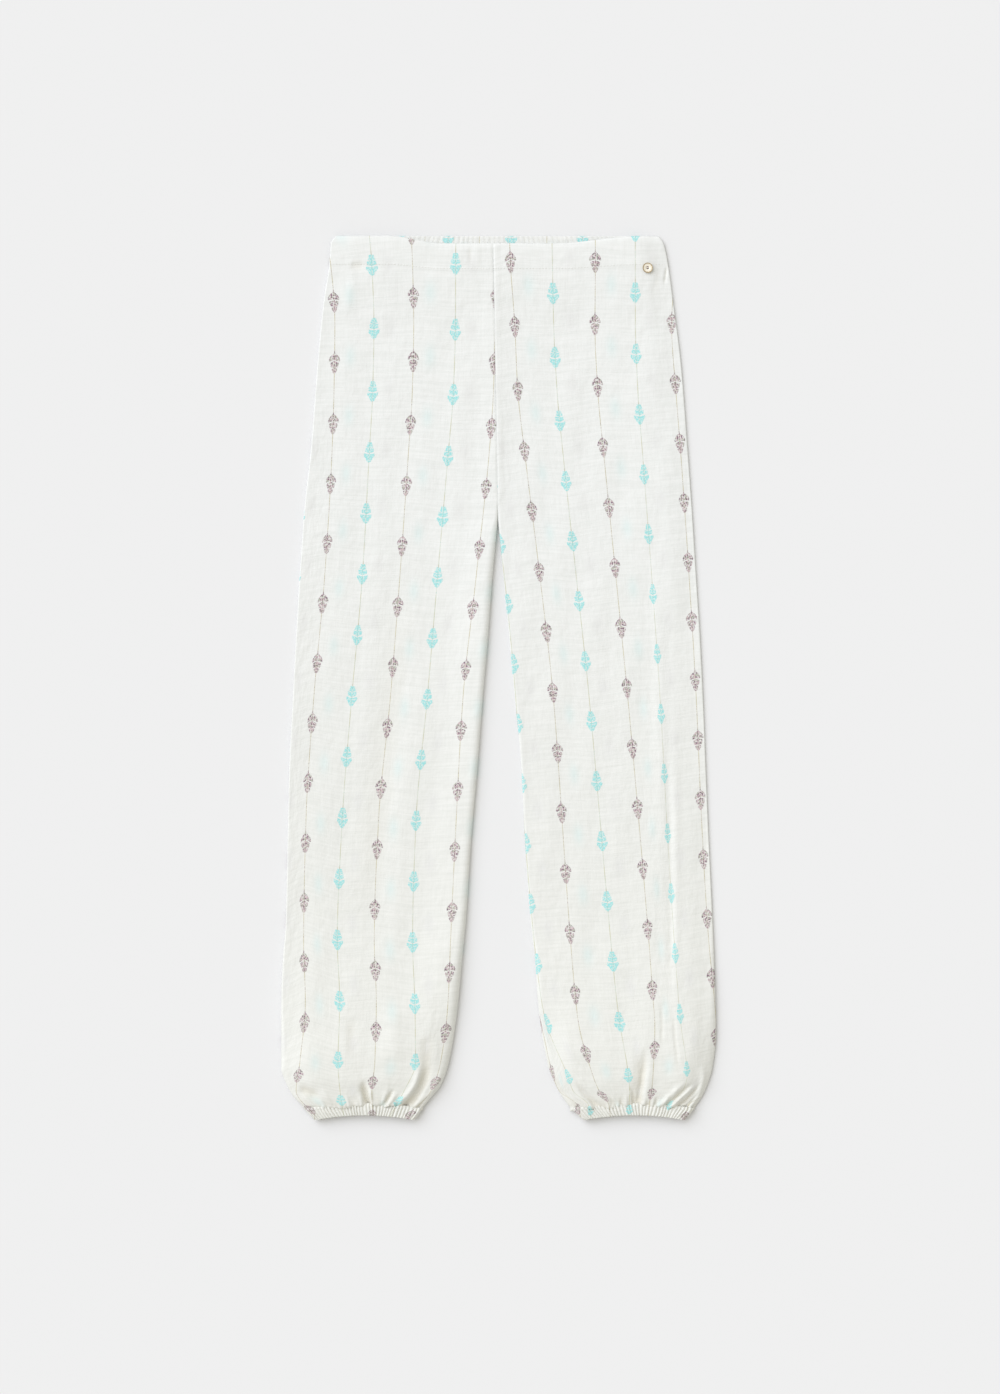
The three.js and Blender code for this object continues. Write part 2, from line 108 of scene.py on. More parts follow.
LEFT_LEAVES = table(
    "first third thirteenth",
    (34, 177, 869), (76, 213.5, 888), (33.5, 175.8, 864), (71, 214.5, 898.5),
    (32, 180, 866.5), (72.5, 218.5, 900.5),
)
RIGHT_STRIPES = table(
    "drop round one two three four five six",
    (0, -84, -38, 12, 60, 109, 154, 198.5),
    (30, -78, -32.5, 13.1, 60.5, 109, 154, 199),
    (100, -71, -27, 18, 62, 108.6, 154.2, 195.2),
    (175, -64, -19, 21.5, 65.8, 111.8, 157, 200),
    (245, -58, -12, 29.3, 72.4, 118.4, 162.2, 205.5),
    (385, -40, 6.3, 46.5, 87.5, 132.3, 172.7, 215),
    (521, -24, 19.1, 61.6, 102, 145.6, 182, 223),
    (659, -8, 28.1, 71.4, 114.3, 158, 189.6, 229),
    (795, 18, 39.8, 80.9, 126.3, 169.3, 197.8, 237),
    (863, 39, 48.1, 86.8, 133, 174, 202.6, 243.5),
    (889, 47.5, 53.6, 90, 136.5, 175.8, 205, 245.5),
    (947, 61, 77.5, 106, 146, 173.5, 212, 246),
    (965, 68, 84, 113.5, 147.5, 172, 207, 241),
    (980, 88, 101, 124, 147.2, 169.5, 192.5, 215),
    (992, 92, 103.1, 125.7, 147.2, 168.7, 190.1, 209.3),
)
RIGHT_LEAVES = table(
    "first third thirteenth",
    (57, 202, 885), (75, 213, 889), (31, 176, 857), (65.4, 209.5, 887), (31, 171.5, 852), (64.5, 202, 877.5),
    (32, 168, 839),
)
STRIPE_PITCH = 46.5          # between two stripes of the flat cloth
LEAF_REPEAT = 69.1           # from one leaf to the next on a stripe
LEAF_STAGGER = 0.556         # of a repeat: how much lower the leaves of every second stripe lie


def smooth(start, end, value):
    """0 before start and 1 after end, with a soft change between them."""
    t = np.clip((value - start) / (end - start), 0, 1)
    return t * t * (3 - 2 * t)


def smooth_line(rows, column):
    """A curve through one column by drop, with no overshoot between its rows."""
    at, value = rows["drop"], rows[column]
    step = np.diff(at)
    slope = np.diff(value) / step
    before, after = slope[:-1], slope[1:]
    bend = np.concatenate([slope[:1], np.zeros(len(at) - 2), slope[-1:]])
    turns = before * after <= 0
    bend[1:-1] = np.where(turns, 0, 2 * before * after / np.where(turns, 1, before + after))

    def line(drop):
        d = np.clip(drop, at[0], at[-1])
        i = np.clip(np.searchsorted(at, d, side="right") - 1, 0, len(step) - 1)
        t = (d - at[i]) / step[i]
        ends = (2 * t**3 - 3 * t**2 + 1) * value[i] + (3 * t**2 - 2 * t**3) * value[i + 1]
        return ends + step[i] * ((t**3 - 2 * t**2 + t) * bend[i] + (t**3 - t**2) * bend[i + 1])

    return line


def straight_line(at, value):
    """Straight stretches through the points, going on past both ends."""
    slope = np.diff(value) / np.diff(at)

    def line(drop):
        i = np.clip(np.searchsorted(at, drop) - 1, 0, len(slope) - 1)
        return value[i] + slope[i] * (drop - at[i])

    return line


def centre_line(drop):
    """The centre seam, from the waist down to the crotch."""
    return CENTRE_TOP + (CENTRE_LOW - CENTRE_TOP) * np.clip(drop / CROTCH_DROP, 0, 1)


def make_leg(side, name, stripes, leaves, staggered_top):
    """A leg's outline and print as curves by drop. staggered_top counts a mauve stripe's topmost leaf."""
    columns = [column for column in stripes if column != "drop"]
    first = 6 - len(columns)
    counts = [np.array([0, 2, 12]) + (staggered_top if k % 2 else 0) for k in range(first, 6)]
    rows = np.stack([leaves[which] for which in ("first", "third", "thirteenth")])
    return {
        "side": side,
        "outer": smooth_line(OUTLINE, f"{name}_side"),
        "inner": smooth_line(OUTLINE, f"{name}_inner"),
        "first": first,
        "turned": 0.5 if side > 0 else 0,
        "stripes": [smooth_line(stripes, column) for column in columns],
        "leaves": [straight_line(rows[:, k], count) for k, count in enumerate(counts)],
    }


left_leg = make_leg(-1, "left", LEFT_STRIPES, LEFT_LEAVES, LEAF_STAGGER)
right_leg = make_leg(1, "right", RIGHT_STRIPES, RIGHT_LEAVES, LEAF_STAGGER - 1)
loft_height = smooth_line(LOFT, "height")
loft_sink = smooth_line(LOFT, "sink")

HEM_SQUEEZE_START = 890.0    # below this drop the cloth curves over into the cuff, so its print shortens
HEM_SQUEEZE = 6.1e-7
TURNED_STRIPE = 4            # the right leg's cloth turns away here, more and more between these drops
TURN_START, TURN_END = 150.0, 500.0


def print_place(leg, x, drop):
    """Place on the flat cloth, as counts of stripes and of leaf repeats, of a point seen at x and drop."""
    stripes = np.stack([line(drop) for line in leg["stripes"]])
    leaves = np.stack([line(drop) for line in leg["leaves"]])
    i = (stripes[1:-1] < x).sum(0)[None]
    near, far = (np.take_along_axis(stripes, i + k, 0)[0] for k in (0, 1))
    share = np.clip((x - near) / (far - near), -1.5, 2.5)
    shows = np.minimum((far - near) / STRIPE_PITCH, 1)    # gathers hide the cloth between the leaves
    across = shows * share + (1 - shows) * smooth(0, 1, share)
    turned = leg["turned"] * smooth(TURN_START, TURN_END, drop)
    before = (leg["first"] + i[0] == TURNED_STRIPE - 1) * share**2 * (share - 1)
    after = (leg["first"] + i[0] == TURNED_STRIPE) * share * (1 - share) ** 2
    across = across + turned * (before + after)
    above, below = (np.take_along_axis(leaves, i + k, 0)[0] for k in (0, 1))
    squeezed = HEM_SQUEEZE * np.maximum(drop - HEM_SQUEEZE_START, 0) ** 3
    return leg["first"] + i[0] + across, above + share * (below - above) + squeezed


def cloth_map(stripe_count, leaf_count):
    """Map of the flat cloth in metres, for the print and the weave."""
    return np.stack([stripe_count * STRIPE_PITCH, leaf_count * LEAF_REPEAT], 1) * MM


# Main creases of the fronts, each a line bent at its middle: three points, half width, and height, below
# zero for a trough
CREASES = (
    # left leg: long soft waves from the crotch to the knee
    (-98, 366, -124, 586, -151, 807, 22, -0.8),
    (-70, 380, -96, 600, -118, 820, 20, 1.2),
    (-117, 860, -117, 900, -117, 940, 13, 2),
    (-166, 880, -166, 905, -165, 932, 6, -1),
    # left leg, above the cuff, from the side seam to the inseam
    (-227, 962, -214, 966, -199, 976, 5, -2.7),
    (-205, 960, -192, 972, -172, 980, 5, 1.6),
    (-153, 948, -149.5, 968, -143.5, 988, 3.4, -4.3),
    (-157, 955, -152, 966, -146.5, 982, 3.2, -2.2),
    (-145, 960, -144.5, 971, -142, 986, 2.2, 2.6),
    (-117, 961, -124.5, 972, -133, 986, 2, -3.2),
    (-114, 966, -121, 976, -129, 988, 2.3, 2.4),
    (-108, 975, -115, 981, -123, 988, 2.3, -3),
    (-91, 932, -95, 958, -119, 984, 3.2, 2.9),
    (-81, 918, -86, 957, -108, 986, 5.6, -5.3),
    (-82, 900, -81, 918, -82, 938, 6.5, -1.9),
    (-75, 946, -88, 972, -103, 988, 3.6, 2.9),
    (-75, 966, -86, 979, -95, 988, 1.9, -2.6),
    (-63, 936, -69.5, 957, -83, 978, 4, 1.9),
    # right leg: ripples beside the side seam
    (177, 330, 182, 540, 186, 760, 7, 0.9),
    (197, 520, 200, 700, 200, 930, 6, 1.3),
    (190, 560, 194, 720, 193, 900, 3.5, -0.8),
    (183, 860, 184, 890, 183, 918, 1.8, -0.9),
    (197, 862, 199, 908, 203, 944, 1.8, -0.8),
    # right leg, above the cuff, from the inseam to the side seam
    (50, 905, 61.5, 948, 89, 986, 2.3, -1.4),
    (84, 948, 100, 971, 115, 983, 3.2, -2.6),
    (82, 958, 95, 975, 108, 987, 3, 1.9),
    (123, 968, 130, 979, 135, 988, 2, -2),
    (137, 970, 138, 980, 139.5, 988, 1.7, -1.8),
    (149, 956, 151.5, 971, 152, 986, 2.2, -1.6),
    (165.5, 908, 161.5, 951, 154.5, 987, 3.2, -2.4),
    (160, 915, 159, 945, 154, 980, 7.5, -1.7),
    (171, 910, 168, 954, 161, 986, 4.5, 0.9),
    (166, 973, 168, 981, 169, 988, 1.7, -2.2),
    (179, 970, 176, 980, 173, 988, 1.9, -2.2),
    (213, 952, 198, 965, 179, 984, 2.4, 1.6),
    (219, 956, 203.5, 968, 182.5, 987, 2, -2.9),
    (222, 958, 210, 968, 190, 987, 1.9, 2.1),
    (227, 954, 218.5, 968, 196, 988, 1.8, -2.7),
    (228.5, 961, 218.5, 976, 204, 989, 2, -2.8),
    (226, 930, 230.5, 957, 213, 986, 4.2, 2.4),
    (235, 958, 228, 973, 218, 986, 1.9, -1.8),
    # waist: small pulls of the laid front
    (-168, 32, -160, 34, -149, 33, 5, -1.3),
    (-160, 44, -168, 66, -176, 92, 8, 1.1),
    (-32, 12, -32.5, 22, -31, 34, 2.4, -0.7),
    (-25, 12, -24, 22, -22, 36, 4, 0.4),
    (190, 34, 188.5, 44, 186.5, 58, 1.3, -1.5),
    (181, 30, 178, 50, 171, 72, 3.6, -0.5),
    (174, 40, 171, 58, 164, 78, 4.5, 0.4),
)


def crease_heights(x, drop, creases):
    """How far the creases lift or sink each point."""
    total = np.zeros(len(x))
    for x0, d0, x1, d1, x2, d2, half, rise in creases:
        start, middle, end = np.array(((x0, d0), (x1, d1), (x2, d2)), float)
        t = np.linspace(0, 1, 13)[:, None]
        line = (1 - t) ** 2 * start + t * (1 - t) * (4 * middle - start - end) + t**2 * end
        low, high = line.min(0) - 3 * half, line.max(0) + 3 * half
        near = (x > low[0]) & (x < high[0]) & (drop > low[1]) & (drop < high[1])
        point = np.stack([x[near], drop[near]], 1)
        nearest = np.full(len(point), np.inf)
        along = np.zeros(len(point))
        for k in range(len(line) - 1):
            span = line[k + 1] - line[k]
            share = np.clip(((point - line[k]) @ span) / (span @ span), 0, 1)
            away = np.linalg.norm(point - line[k] - share[:, None] * span, axis=1)
            closer = away < nearest
            nearest[closer] = away[closer]
            along[closer] = (k + share[closer]) / (len(line) - 1)
        into_cuff = d2 >= CUFF_DROP - 6
        ends = smooth(0, 0.5, along) if into_cuff else smooth(0, 0.35, along) * smooth(0, 0.35, 1 - along)
        total[near] += rise * ends * np.exp(-((nearest / half) ** 2))
    return total


# Gathers of the hem: how far up from the cuff each one runs, over and over
GATHER_REACHES = (10, 24, 8, 16, 11, 34, 7, 20, 12, 9, 28)
GATHER_COUNT = 36
GATHER_HALF, GATHER_RISE = 1.25, 0.85


def hem_gathers(share, up, width, phase):
    """Height of the hem's gathers: ridges that start close together at the cuff and fade upward."""
    total = np.zeros(len(share))
    for i in range(GATHER_COUNT):
        reach = GATHER_REACHES[(i * 4 + int(phase)) % len(GATHER_REACHES)]
        centre = (i + 0.5 + 0.3 * math.sin(2.4 * i + phase)) / GATHER_COUNT
        half = GATHER_HALF * (1 + 1.3 * up / reach)
        rise = GATHER_RISE + 0.35 * math.sin(1.7 * i + 2 * phase)
        fade = 1 - smooth(0.1 * reach, reach, up)
        total += rise * fade * np.exp(-((share - centre) * width / half) ** 2)
    return total


# By leg, -1 for the left and 1 for the right: how far the hem's fullness hangs over the cuff, least and
# most, and where it hangs most, as a share of the way to the side seam
HEM_HANG = {
    -1: {"least": 2.6, "most": 3.4, "at": 0.62, "wide": 0.16},
    1: {"least": 2.8, "most": 2.2, "at": 0.3, "wide": 0.3},
}
# Also by leg: how wide the side rounds for its height, how much lower its seam lies than the other seams,
# how much lower the front lies there, and how much wider, higher and lower the front lies at its inner edge
SIDE_ROUND = {-1: 0.22, 1: 0.62}
SEAM_FALL = {-1: 0.0, 1: 1.1}
SIDE_FALL = {-1: 1.1, 1: 3.0}
INSEAM_ROLL = {
    -1: {"wide": 4.5, "crown": 3.0, "fall": 0.0},
    1: {"wide": 0.0, "crown": 0.0, "fall": 1.0},
}
FALL_WIDTH = 32.0            # the stretch beside an edge over which the front comes down
HEM_FALL = 3.6               # how much more it does so at the full hem
TOP_FALL, TOP_STRETCH = 0.9, 7.0    # how much lower its top edge lies, and over what stretch
FACING_DEPTH = 34.0          # the layer inside the front's top, whose lower edge shows as a soft step
FACING_STEP = 0.35
ALLOWANCE = 7.0              # width of the centre seam's allowance, pressed toward the right leg
# Painted shade: the troughs of the folds and the valleys of the gathers are painted warmer and darker, by
# these shares
FOLD_SHADE_SHARE, GATHER_SHADE_SHARE = 0.75, 0.5    # how much of the warmer shade the folds and the gathers take
DIP = {"depth": 8.5, "flat": 62.0, "left_end": 125.0, "right_end": 165.0, "fade": 70.0}


def waist_dip(x, drop):
    """How far the front's top edge lies below the back's in the middle, less and less down the front."""
    reach = np.where(x < 0, DIP["left_end"], DIP["right_end"])
    return DIP["depth"] * (1 - smooth(DIP["flat"], reach, np.abs(x))) * (1 - smooth(0, DIP["fade"], drop))


def edge_fall(leg, width, across, drop):
    """How much lower the front lies toward its two edges."""
    at_hem = HEM_FALL * smooth(850, 930, drop) * (1 - 0.5 * smooth(965, CUFF_DROP, drop))
    toward_side = (SIDE_FALL[leg["side"]] + at_hem) * (1 - smooth(0, FALL_WIDTH, width - across))
    roll = INSEAM_ROLL[leg["side"]]
    crown = roll["crown"] * (1 - smooth(14, 50, across)) * (1 - smooth(820, 930, drop))
    inseam = (roll["fall"] + at_hem) * (1 - smooth(0, FALL_WIDTH, across)) - crown
    return toward_side + inseam * smooth(CROTCH_DROP, CROTCH_DROP + 30, drop)


def hem_end(leg, s):
    """Drop at which the hem's fullness ends, hanging a little over the cuff, and most at its outer half."""
    hang = HEM_HANG[leg["side"]]
    bulge = np.exp(-(((s - hang["at"]) / hang["wide"]) ** 2))
    ragged = 0.8 * np.sin(17 * s + 2) + 0.6 * np.sin(41 * s) + 0.4 * np.sin(97 * s + 1)
    return CUFF_DROP + hang["least"] + hang["most"] * bulge + ragged


EDGE_SHARE = 0.08            # share of a panel's columns that go round each folded edge


def place_in_section(width, inner_edge, edge, s):
    """Distance from the inner edge, and how far each end has rolled down toward its seam."""
    turn_in = np.minimum(s / EDGE_SHARE, 1) * math.pi / 2
    turn_out = np.minimum((1 - s) / EDGE_SHARE, 1) * math.pi / 2
    middle = (s - EDGE_SHARE) / (1 - 2 * EDGE_SHARE)
    across = inner_edge + middle * (width - edge - inner_edge)
    across = np.where(s < EDGE_SHARE, inner_edge * (1 - np.cos(turn_in)), across)
    across = np.where(s > 1 - EDGE_SHARE, width - edge * (1 - np.cos(turn_out)), across)
    return across, 1 - np.sin(turn_in), 1 - np.sin(turn_out)


def lay_front(leg, drop, s):
    """The outside of a front leg, and how much painted shade the valleys of its folds and gathers take. s
    runs from its inner edge to its side.
    """
    side = leg["side"]
    end = hem_end(leg, s)
    drop = drop + (end - CUFF_DROP) * smooth(940, CUFF_DROP, drop)
    parted = smooth(CROTCH_DROP, CROTCH_DROP + INSEAM_PART, drop)
    inner = leg["inner"](drop) + side * SEAM_GAP / 2 * (1 - parted) + centre_line(drop) - CENTRE_LOW
    width = np.abs(leg["outer"](drop) - inner)
    height = loft_height(drop)
    fuller = INSEAM_ROLL[side]["wide"] * parted * (1 - smooth(850, 940, drop))
    side_edge = (SIDE_ROUND[side] + 0.2 * smooth(850, 930, drop)) * height
    across, roll_in, roll_out = place_in_section(width, EDGE_ROUND * height + fuller, side_edge, s)
    x = inner + side * across
    share = across / width
    dip = waist_dip(x, drop)
    arc = CUFF_ARC * (1 - (2 * share - 1) ** 2) * smooth(HEM_ARC_START, CUFF_DROP, drop)
    seen = drop + dip - arc
    roll = np.minimum(roll_in * smooth(CROTCH_DROP - CROTCH_ROLL, CROTCH_DROP, drop) + roll_out, 1)

    waves = 0.35 * np.sin(x / 15.5 + seen / 65 + side) * np.sin(seen / 37 + x / 48)
    waves += 0.22 * np.sin(x / 6.6 + seen / 110) * smooth(60, 200, drop)
    folds = crease_heights(x, seen, CREASES)
    gathers = hem_gathers(share, end - drop, width, 2 + side)
    facing = FACING_STEP * (1 - smooth(FACING_DEPTH - 1.5, FACING_DEPTH + 1.5, drop + 1.2 * np.sin(x / 31)))
    from_centre = np.abs(x - centre_line(drop))
    ridge = 0.35 * (1 - smooth(ALLOWANCE - 2, ALLOWANCE + 1.5, from_centre)) if side > 0 else 0
    seam = 0.45 * (1 - smooth(0, 2.4, from_centre))
    above_crotch = 1 - smooth(CROTCH_DROP - 20, CROTCH_DROP + 6, drop)
    top = height - loft_sink(drop) * (1 - (2 * share - 1) ** 4)
    top = top - edge_fall(leg, width, across, drop)
    top = top - TOP_FALL * (1 - smooth(0, TOP_STRETCH, drop))
    top = top + (1 - roll) * (waves + folds + gathers + facing + (ridge - seam) * above_crotch)
    top = top - 0.5 * (1 - smooth(0, 1.6, drop)) - 1.5 * smooth(end - 3, end, drop) ** 2
    z = top - roll * (top - SEAM_HEIGHT + SEAM_FALL[side] * roll_out - SEAM_GAP / 2)
    # Painted shade, warmer and darker, in the gathers' valleys just above the cuff and in the creases'
    # troughs
    tucks = GATHER_SHADE_SHARE * np.clip(1 - gathers, 0, 1) * (1 - smooth(0, 16, end - drop))
    tucks = np.minimum(tucks + FOLD_SHADE_SHARE * np.clip(-folds / 3, 0, 1), 1)
    return np.stack([x, WAIST_Y - seen, z], 1), tucks


def add_grid(name, columns, rows):
    """A new flat grid, selected and active, with each point's share across it and down it."""
    bpy.ops.mesh.primitive_grid_add(x_subdivisions=columns, y_subdivisions=rows, size=1)
    piece = bpy.context.object
    piece.name = piece.data.name = name
    place = np.empty(len(piece.data.vertices) * 3, np.float32)
    piece.data.vertices.foreach_get("co", place)
    place = place.reshape(-1, 3).astype(float)
    return piece, place[:, 0] + 0.5, 0.5 - place[:, 1]


def shape_cloth(piece, points, inside_z, **maps):
    """Moves the grid's points to their places in millimetres, writes its maps and faces it outward."""
    mesh = piece.data
    mesh.vertices.foreach_set("co", (points * MM).astype(np.float32).ravel())
    corners = np.empty(len(mesh.loops), np.int32)
    mesh.loops.foreach_get("vertex_index", corners)
    mesh.uv_layers.active.name = "cloth"
    for name, places in maps.items():
        layer = mesh.uv_layers.get(name) or mesh.uv_layers.new(name=name)
        layer.data.foreach_set("uv", places[corners].astype(np.float32).ravel())
    mesh.update()
    outward = sum(face.area * face.normal.z * (face.center.z - inside_z * MM) for face in mesh.polygons)
    if outward < 0:
        mesh.flip_normals()


def give_wall(piece, wall):
    """Thickens the active sheet inward and smooths its shading."""
    solidify = piece.modifiers.new("wall", "SOLIDIFY")
    solidify.thickness = wall * MM
    solidify.offset = -1
    bpy.ops.object.modifier_apply(modifier="wall")
    bpy.ops.object.shade_smooth()


def fit_piece(piece, slot, material, *nodes):
    """Rides the piece on the garment, in place of its plain solids."""
    piece.data.materials.clear()
    piece.data.materials.append(material)
    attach(piece, "root")
    if nodes:
        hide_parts(*nodes)


def colour(red, green, blue):
    """Linear colour of one given from 0 to 255 as it shows on a screen."""
    shares = [value / 255 for value in (red, green, blue)]
    return (*[c / 12.92 if c <= 0.04045 else ((c + 0.055) / 1.055) ** 2.4 for c in shares], 1)


def new_group(name, inputs, outputs):
    """An empty node group with its input and output sockets, given as name and kind."""
    group = bpy.data.node_groups.new(name, "ShaderNodeTree")
    for names, way in ((inputs, "INPUT"), (outputs, "OUTPUT")):
        for socket, kind in names:
            group.interface.new_socket(socket, in_out=way, socket_type=f"NodeSocket{kind}")
    return group, group.nodes.new("NodeGroupInput").outputs, group.nodes.new("NodeGroupOutput").inputs


def new_material(name):
    """A new material, its node tree and its shader."""
    material = bpy.data.materials.new(name)
    material.use_nodes = True
    return material, material.node_tree, material.node_tree.nodes["Principled BSDF"]


def add_node(tree, kind, **settings):
    """A new shader node with its settings."""
    node = tree.nodes.new(f"ShaderNode{kind}")
    for name, value in settings.items():
        setattr(node, name, value)
    return node


def feed(tree, socket, value):
    """Sets an input socket to a value, or links it to another socket."""
    if isinstance(value, bpy.types.NodeSocket):
        tree.links.new(value, socket)
    else:
        socket.default_value = value


def reckon(tree, operation, *values):
    """Arithmetic on values or sockets."""
    node = add_node(tree, "Math", operation=operation)
    for socket, value in zip(node.inputs, values):
        feed(tree, socket, value)
    return node.outputs[0]


def times(tree, first, second):
    """Product of two values or sockets."""
    return reckon(tree, "MULTIPLY", first, second)


def spread(tree, value, low, high, to_low=0.0, to_high=1.0):
    """Maps a range of values to another, held at its ends."""
    node = add_node(tree, "MapRange")
    for socket, number in zip(node.inputs, (value, low, high, to_low, to_high)):
        feed(tree, socket, number)
    return node.outputs[0]


def mix_colours(tree, share, first, second, blend="MIX"):
    """The first colour where share is 0 and the second, or its blend with the first, where it is 1."""
    node = add_node(tree, "Mix", data_type="RGBA", blend_type=blend)
    feed(tree, node.inputs["Factor"], share)
    feed(tree, node.inputs[6], first)
    feed(tree, node.inputs[7], second)
    return node.outputs[2]


def yarn_noise(tree, cloth, per_metre_across, per_metre_down, detail=1.0):
    """Uneven yarns: noise stretched along one direction of the cloth."""
    stretch = add_node(tree, "VectorMath", operation="MULTIPLY")
    feed(tree, stretch.inputs[0], cloth)
    feed(tree, stretch.inputs[1], (per_metre_across, per_metre_down, 1))
    noise = add_node(tree, "TexNoise", noise_dimensions="2D")
    noise.inputs["Scale"].default_value = 1
    noise.inputs["Detail"].default_value = detail
    tree.links.new(stretch.outputs[0], noise.inputs["Vector"])
    return noise.outputs["Fac"]


def split_vector(tree, vector):
    """The numbers of a vector, as sockets."""
    node = add_node(tree, "SeparateXYZ")
    feed(tree, node.inputs[0], vector)
    return node.outputs


def add_bump(tree, shader, height, distance):
    """Raises the shaded surface by a height, in metres where distance is 1."""
    bump = add_node(tree, "Bump")
    bump.inputs["Distance"].default_value = distance
    feed(tree, bump.inputs["Height"], height)
    feed(tree, shader.inputs["Normal"], bump.outputs[0])


def use_group(tree, group, **values):
    """Places a group and feeds its inputs."""
    node = add_node(tree, "Group", node_tree=group)
    for name, value in values.items():
        feed(tree, node.inputs[name], value)
    return node.outputs


# Slub weave: thick and thin weft yarns across the cloth, fine warp threads down it, and a soft crumple
slub_weave, given, made = new_group(
    "slub weave", [("Cloth", "Vector")], [("Height", "Float"), ("Tone", "Float")]
)
tree = slub_weave
slubs = yarn_noise(tree, given["Cloth"], 48, 1150)
bands = yarn_noise(tree, given["Cloth"], 15, 330)
warps = yarn_noise(tree, given["Cloth"], 900, 22)
crumple = yarn_noise(tree, given["Cloth"], 75, 55, 2.0)
height = times(tree, slubs, 0.00016)
height = reckon(tree, "MULTIPLY_ADD", warps, 0.00008, height)
height = reckon(tree, "MULTIPLY_ADD", crumple, 0.0008, height)
tone = reckon(tree, "MULTIPLY_ADD", bands, 0.45, times(tree, slubs, 0.3))
tone = reckon(tree, "MULTIPLY_ADD", warps, 0.25, tone)
feed(tree, made["Height"], height)
feed(tree, made["Tone"], spread(tree, tone, 0.38, 0.62))

# Place in the print: distance from the nearest stripe, distance below the middle of the nearest leaf, in
# millimetres, whether that stripe is one of the staggered mauve ones, and a number that differs by leaf
print_places, given, made = new_group(
    "print places",
    [("Cloth", "Vector")],
    [("Across", "Float"), ("Below", "Float"), ("Mauve", "Float"), ("Own", "Float")],
)
tree = print_places
place = split_vector(tree, given["Cloth"])
stripes = reckon(tree, "DIVIDE", place[0], STRIPE_PITCH * MM)
stripe = reckon(tree, "ROUND", stripes)
across = times(tree, reckon(tree, "SUBTRACT", stripes, stripe), STRIPE_PITCH)
is_mauve = reckon(tree, "ABSOLUTE", reckon(tree, "MODULO", stripe, 2.0))
repeats = reckon(tree, "DIVIDE", place[1], LEAF_REPEAT * MM)
repeats = reckon(tree, "SUBTRACT", repeats, times(tree, is_mauve, LEAF_STAGGER))
repeat = reckon(tree, "ROUND", repeats)
below = times(tree, reckon(tree, "SUBTRACT", repeats, repeat), LEAF_REPEAT)
leaf_number = add_node(tree, "CombineXYZ")
feed(tree, leaf_number.inputs[0], stripe)
feed(tree, leaf_number.inputs[1], repeat)
own = add_node(tree, "TexWhiteNoise", noise_dimensions="2D")
feed(tree, own.inputs["Vector"], leaf_number.outputs[0])
feed(tree, made["Across"], across)
feed(tree, made["Below"], below)
feed(tree, made["Mauve"], is_mauve)
feed(tree, made["Own"], own.outputs["Value"])

# Half widths of the two leaves by the distance below their middle, along the leaflets. The turquoise ones
# rise a little outward, and the mauve ones droop.
TURQUOISE_LEAF = (
    (-11.5, 0), (-11, 2), (-9.7, 2.7), (-7.1, 3.2), (-5.8, 3.9), (-5, 4.1), (-4.8, 0.7), (-4.2, 0.7),
    (-3.9, 4.6), (-2, 5), (0.5, 5.1), (0.8, 0.3), (2.1, 0.3), (2.5, 6), (4.2, 6.5), (6, 6.2), (7.5, 4.2),
    (9.1, 3.3), (10.7, 2.4), (11.3, 1.2), (11.8, 0),
)
MAUVE_LEAF = (
    (-14.8, 0), (-14.5, 0.35), (-12.4, 0.5), (-11.9, 1.8), (-10.8, 3.6), (-9.5, 5), (-8, 6), (-6.2, 6.4),
    (-4.6, 6.1), (-4.3, 0.2), (-3.4, 0.2), (-3, 4.8), (-1.2, 4.9), (1, 4.4), (3, 3.7), (3.4, 1.4),
    (4, 1.4), (4.4, 3.3), (6.5, 2.8), (8.8, 1.8), (10.3, 0.9), (10.9, 0),
)
LEAF_SPAN = (-15, 12)
WIDEST_LEAF = 8.0
TURQUOISE_SLANT, MAUVE_SLANT = -0.25, 0.3


def leaf_outline(tree, along, shape):
    """Half width of a leaf at a distance along it, from its short table."""
    low, high = LEAF_SPAN
    ramp = add_node(tree, "ValToRGB")
    stops = ramp.color_ramp.elements
    for k, (at, width) in enumerate(shape):
        share = (at - low) / (high - low)
        stop = stops[k] if k < 2 else stops.new(share)
        stop.position = share
        stop.color = (width / WIDEST_LEAF,) * 3 + (1,)
    feed(tree, ramp.inputs[0], spread(tree, along, low, high))
    return times(tree, ramp.outputs[0], WIDEST_LEAF)


# Leaf print: a thin khaki stripe that comes and goes, turquoise leaves of three tiers that widen downward,
# and mauve leaves of three tiers that narrow downward under a dark spike. All of it is woven, so its edges
# are ragged by a thread.
STRIPE_COLOUR = colour(200, 193, 156)
STRIPE_DARK = colour(164, 152, 124)
TURQUOISE = colour(177, 228, 227)
TURQUOISE_DEEP = colour(134, 212, 212)
MIDRIB = colour(160, 190, 182)
PLUM = colour(120, 94, 114)
MAUVE = colour(206, 187, 189)
MOSS = colour(184, 188, 172)
STRIPE_HALF = 0.42
FLOAT_PITCH, LEAFLET_PITCH = 1.05, 2.5    # between the weft floats of a leaf, and between its leaflets

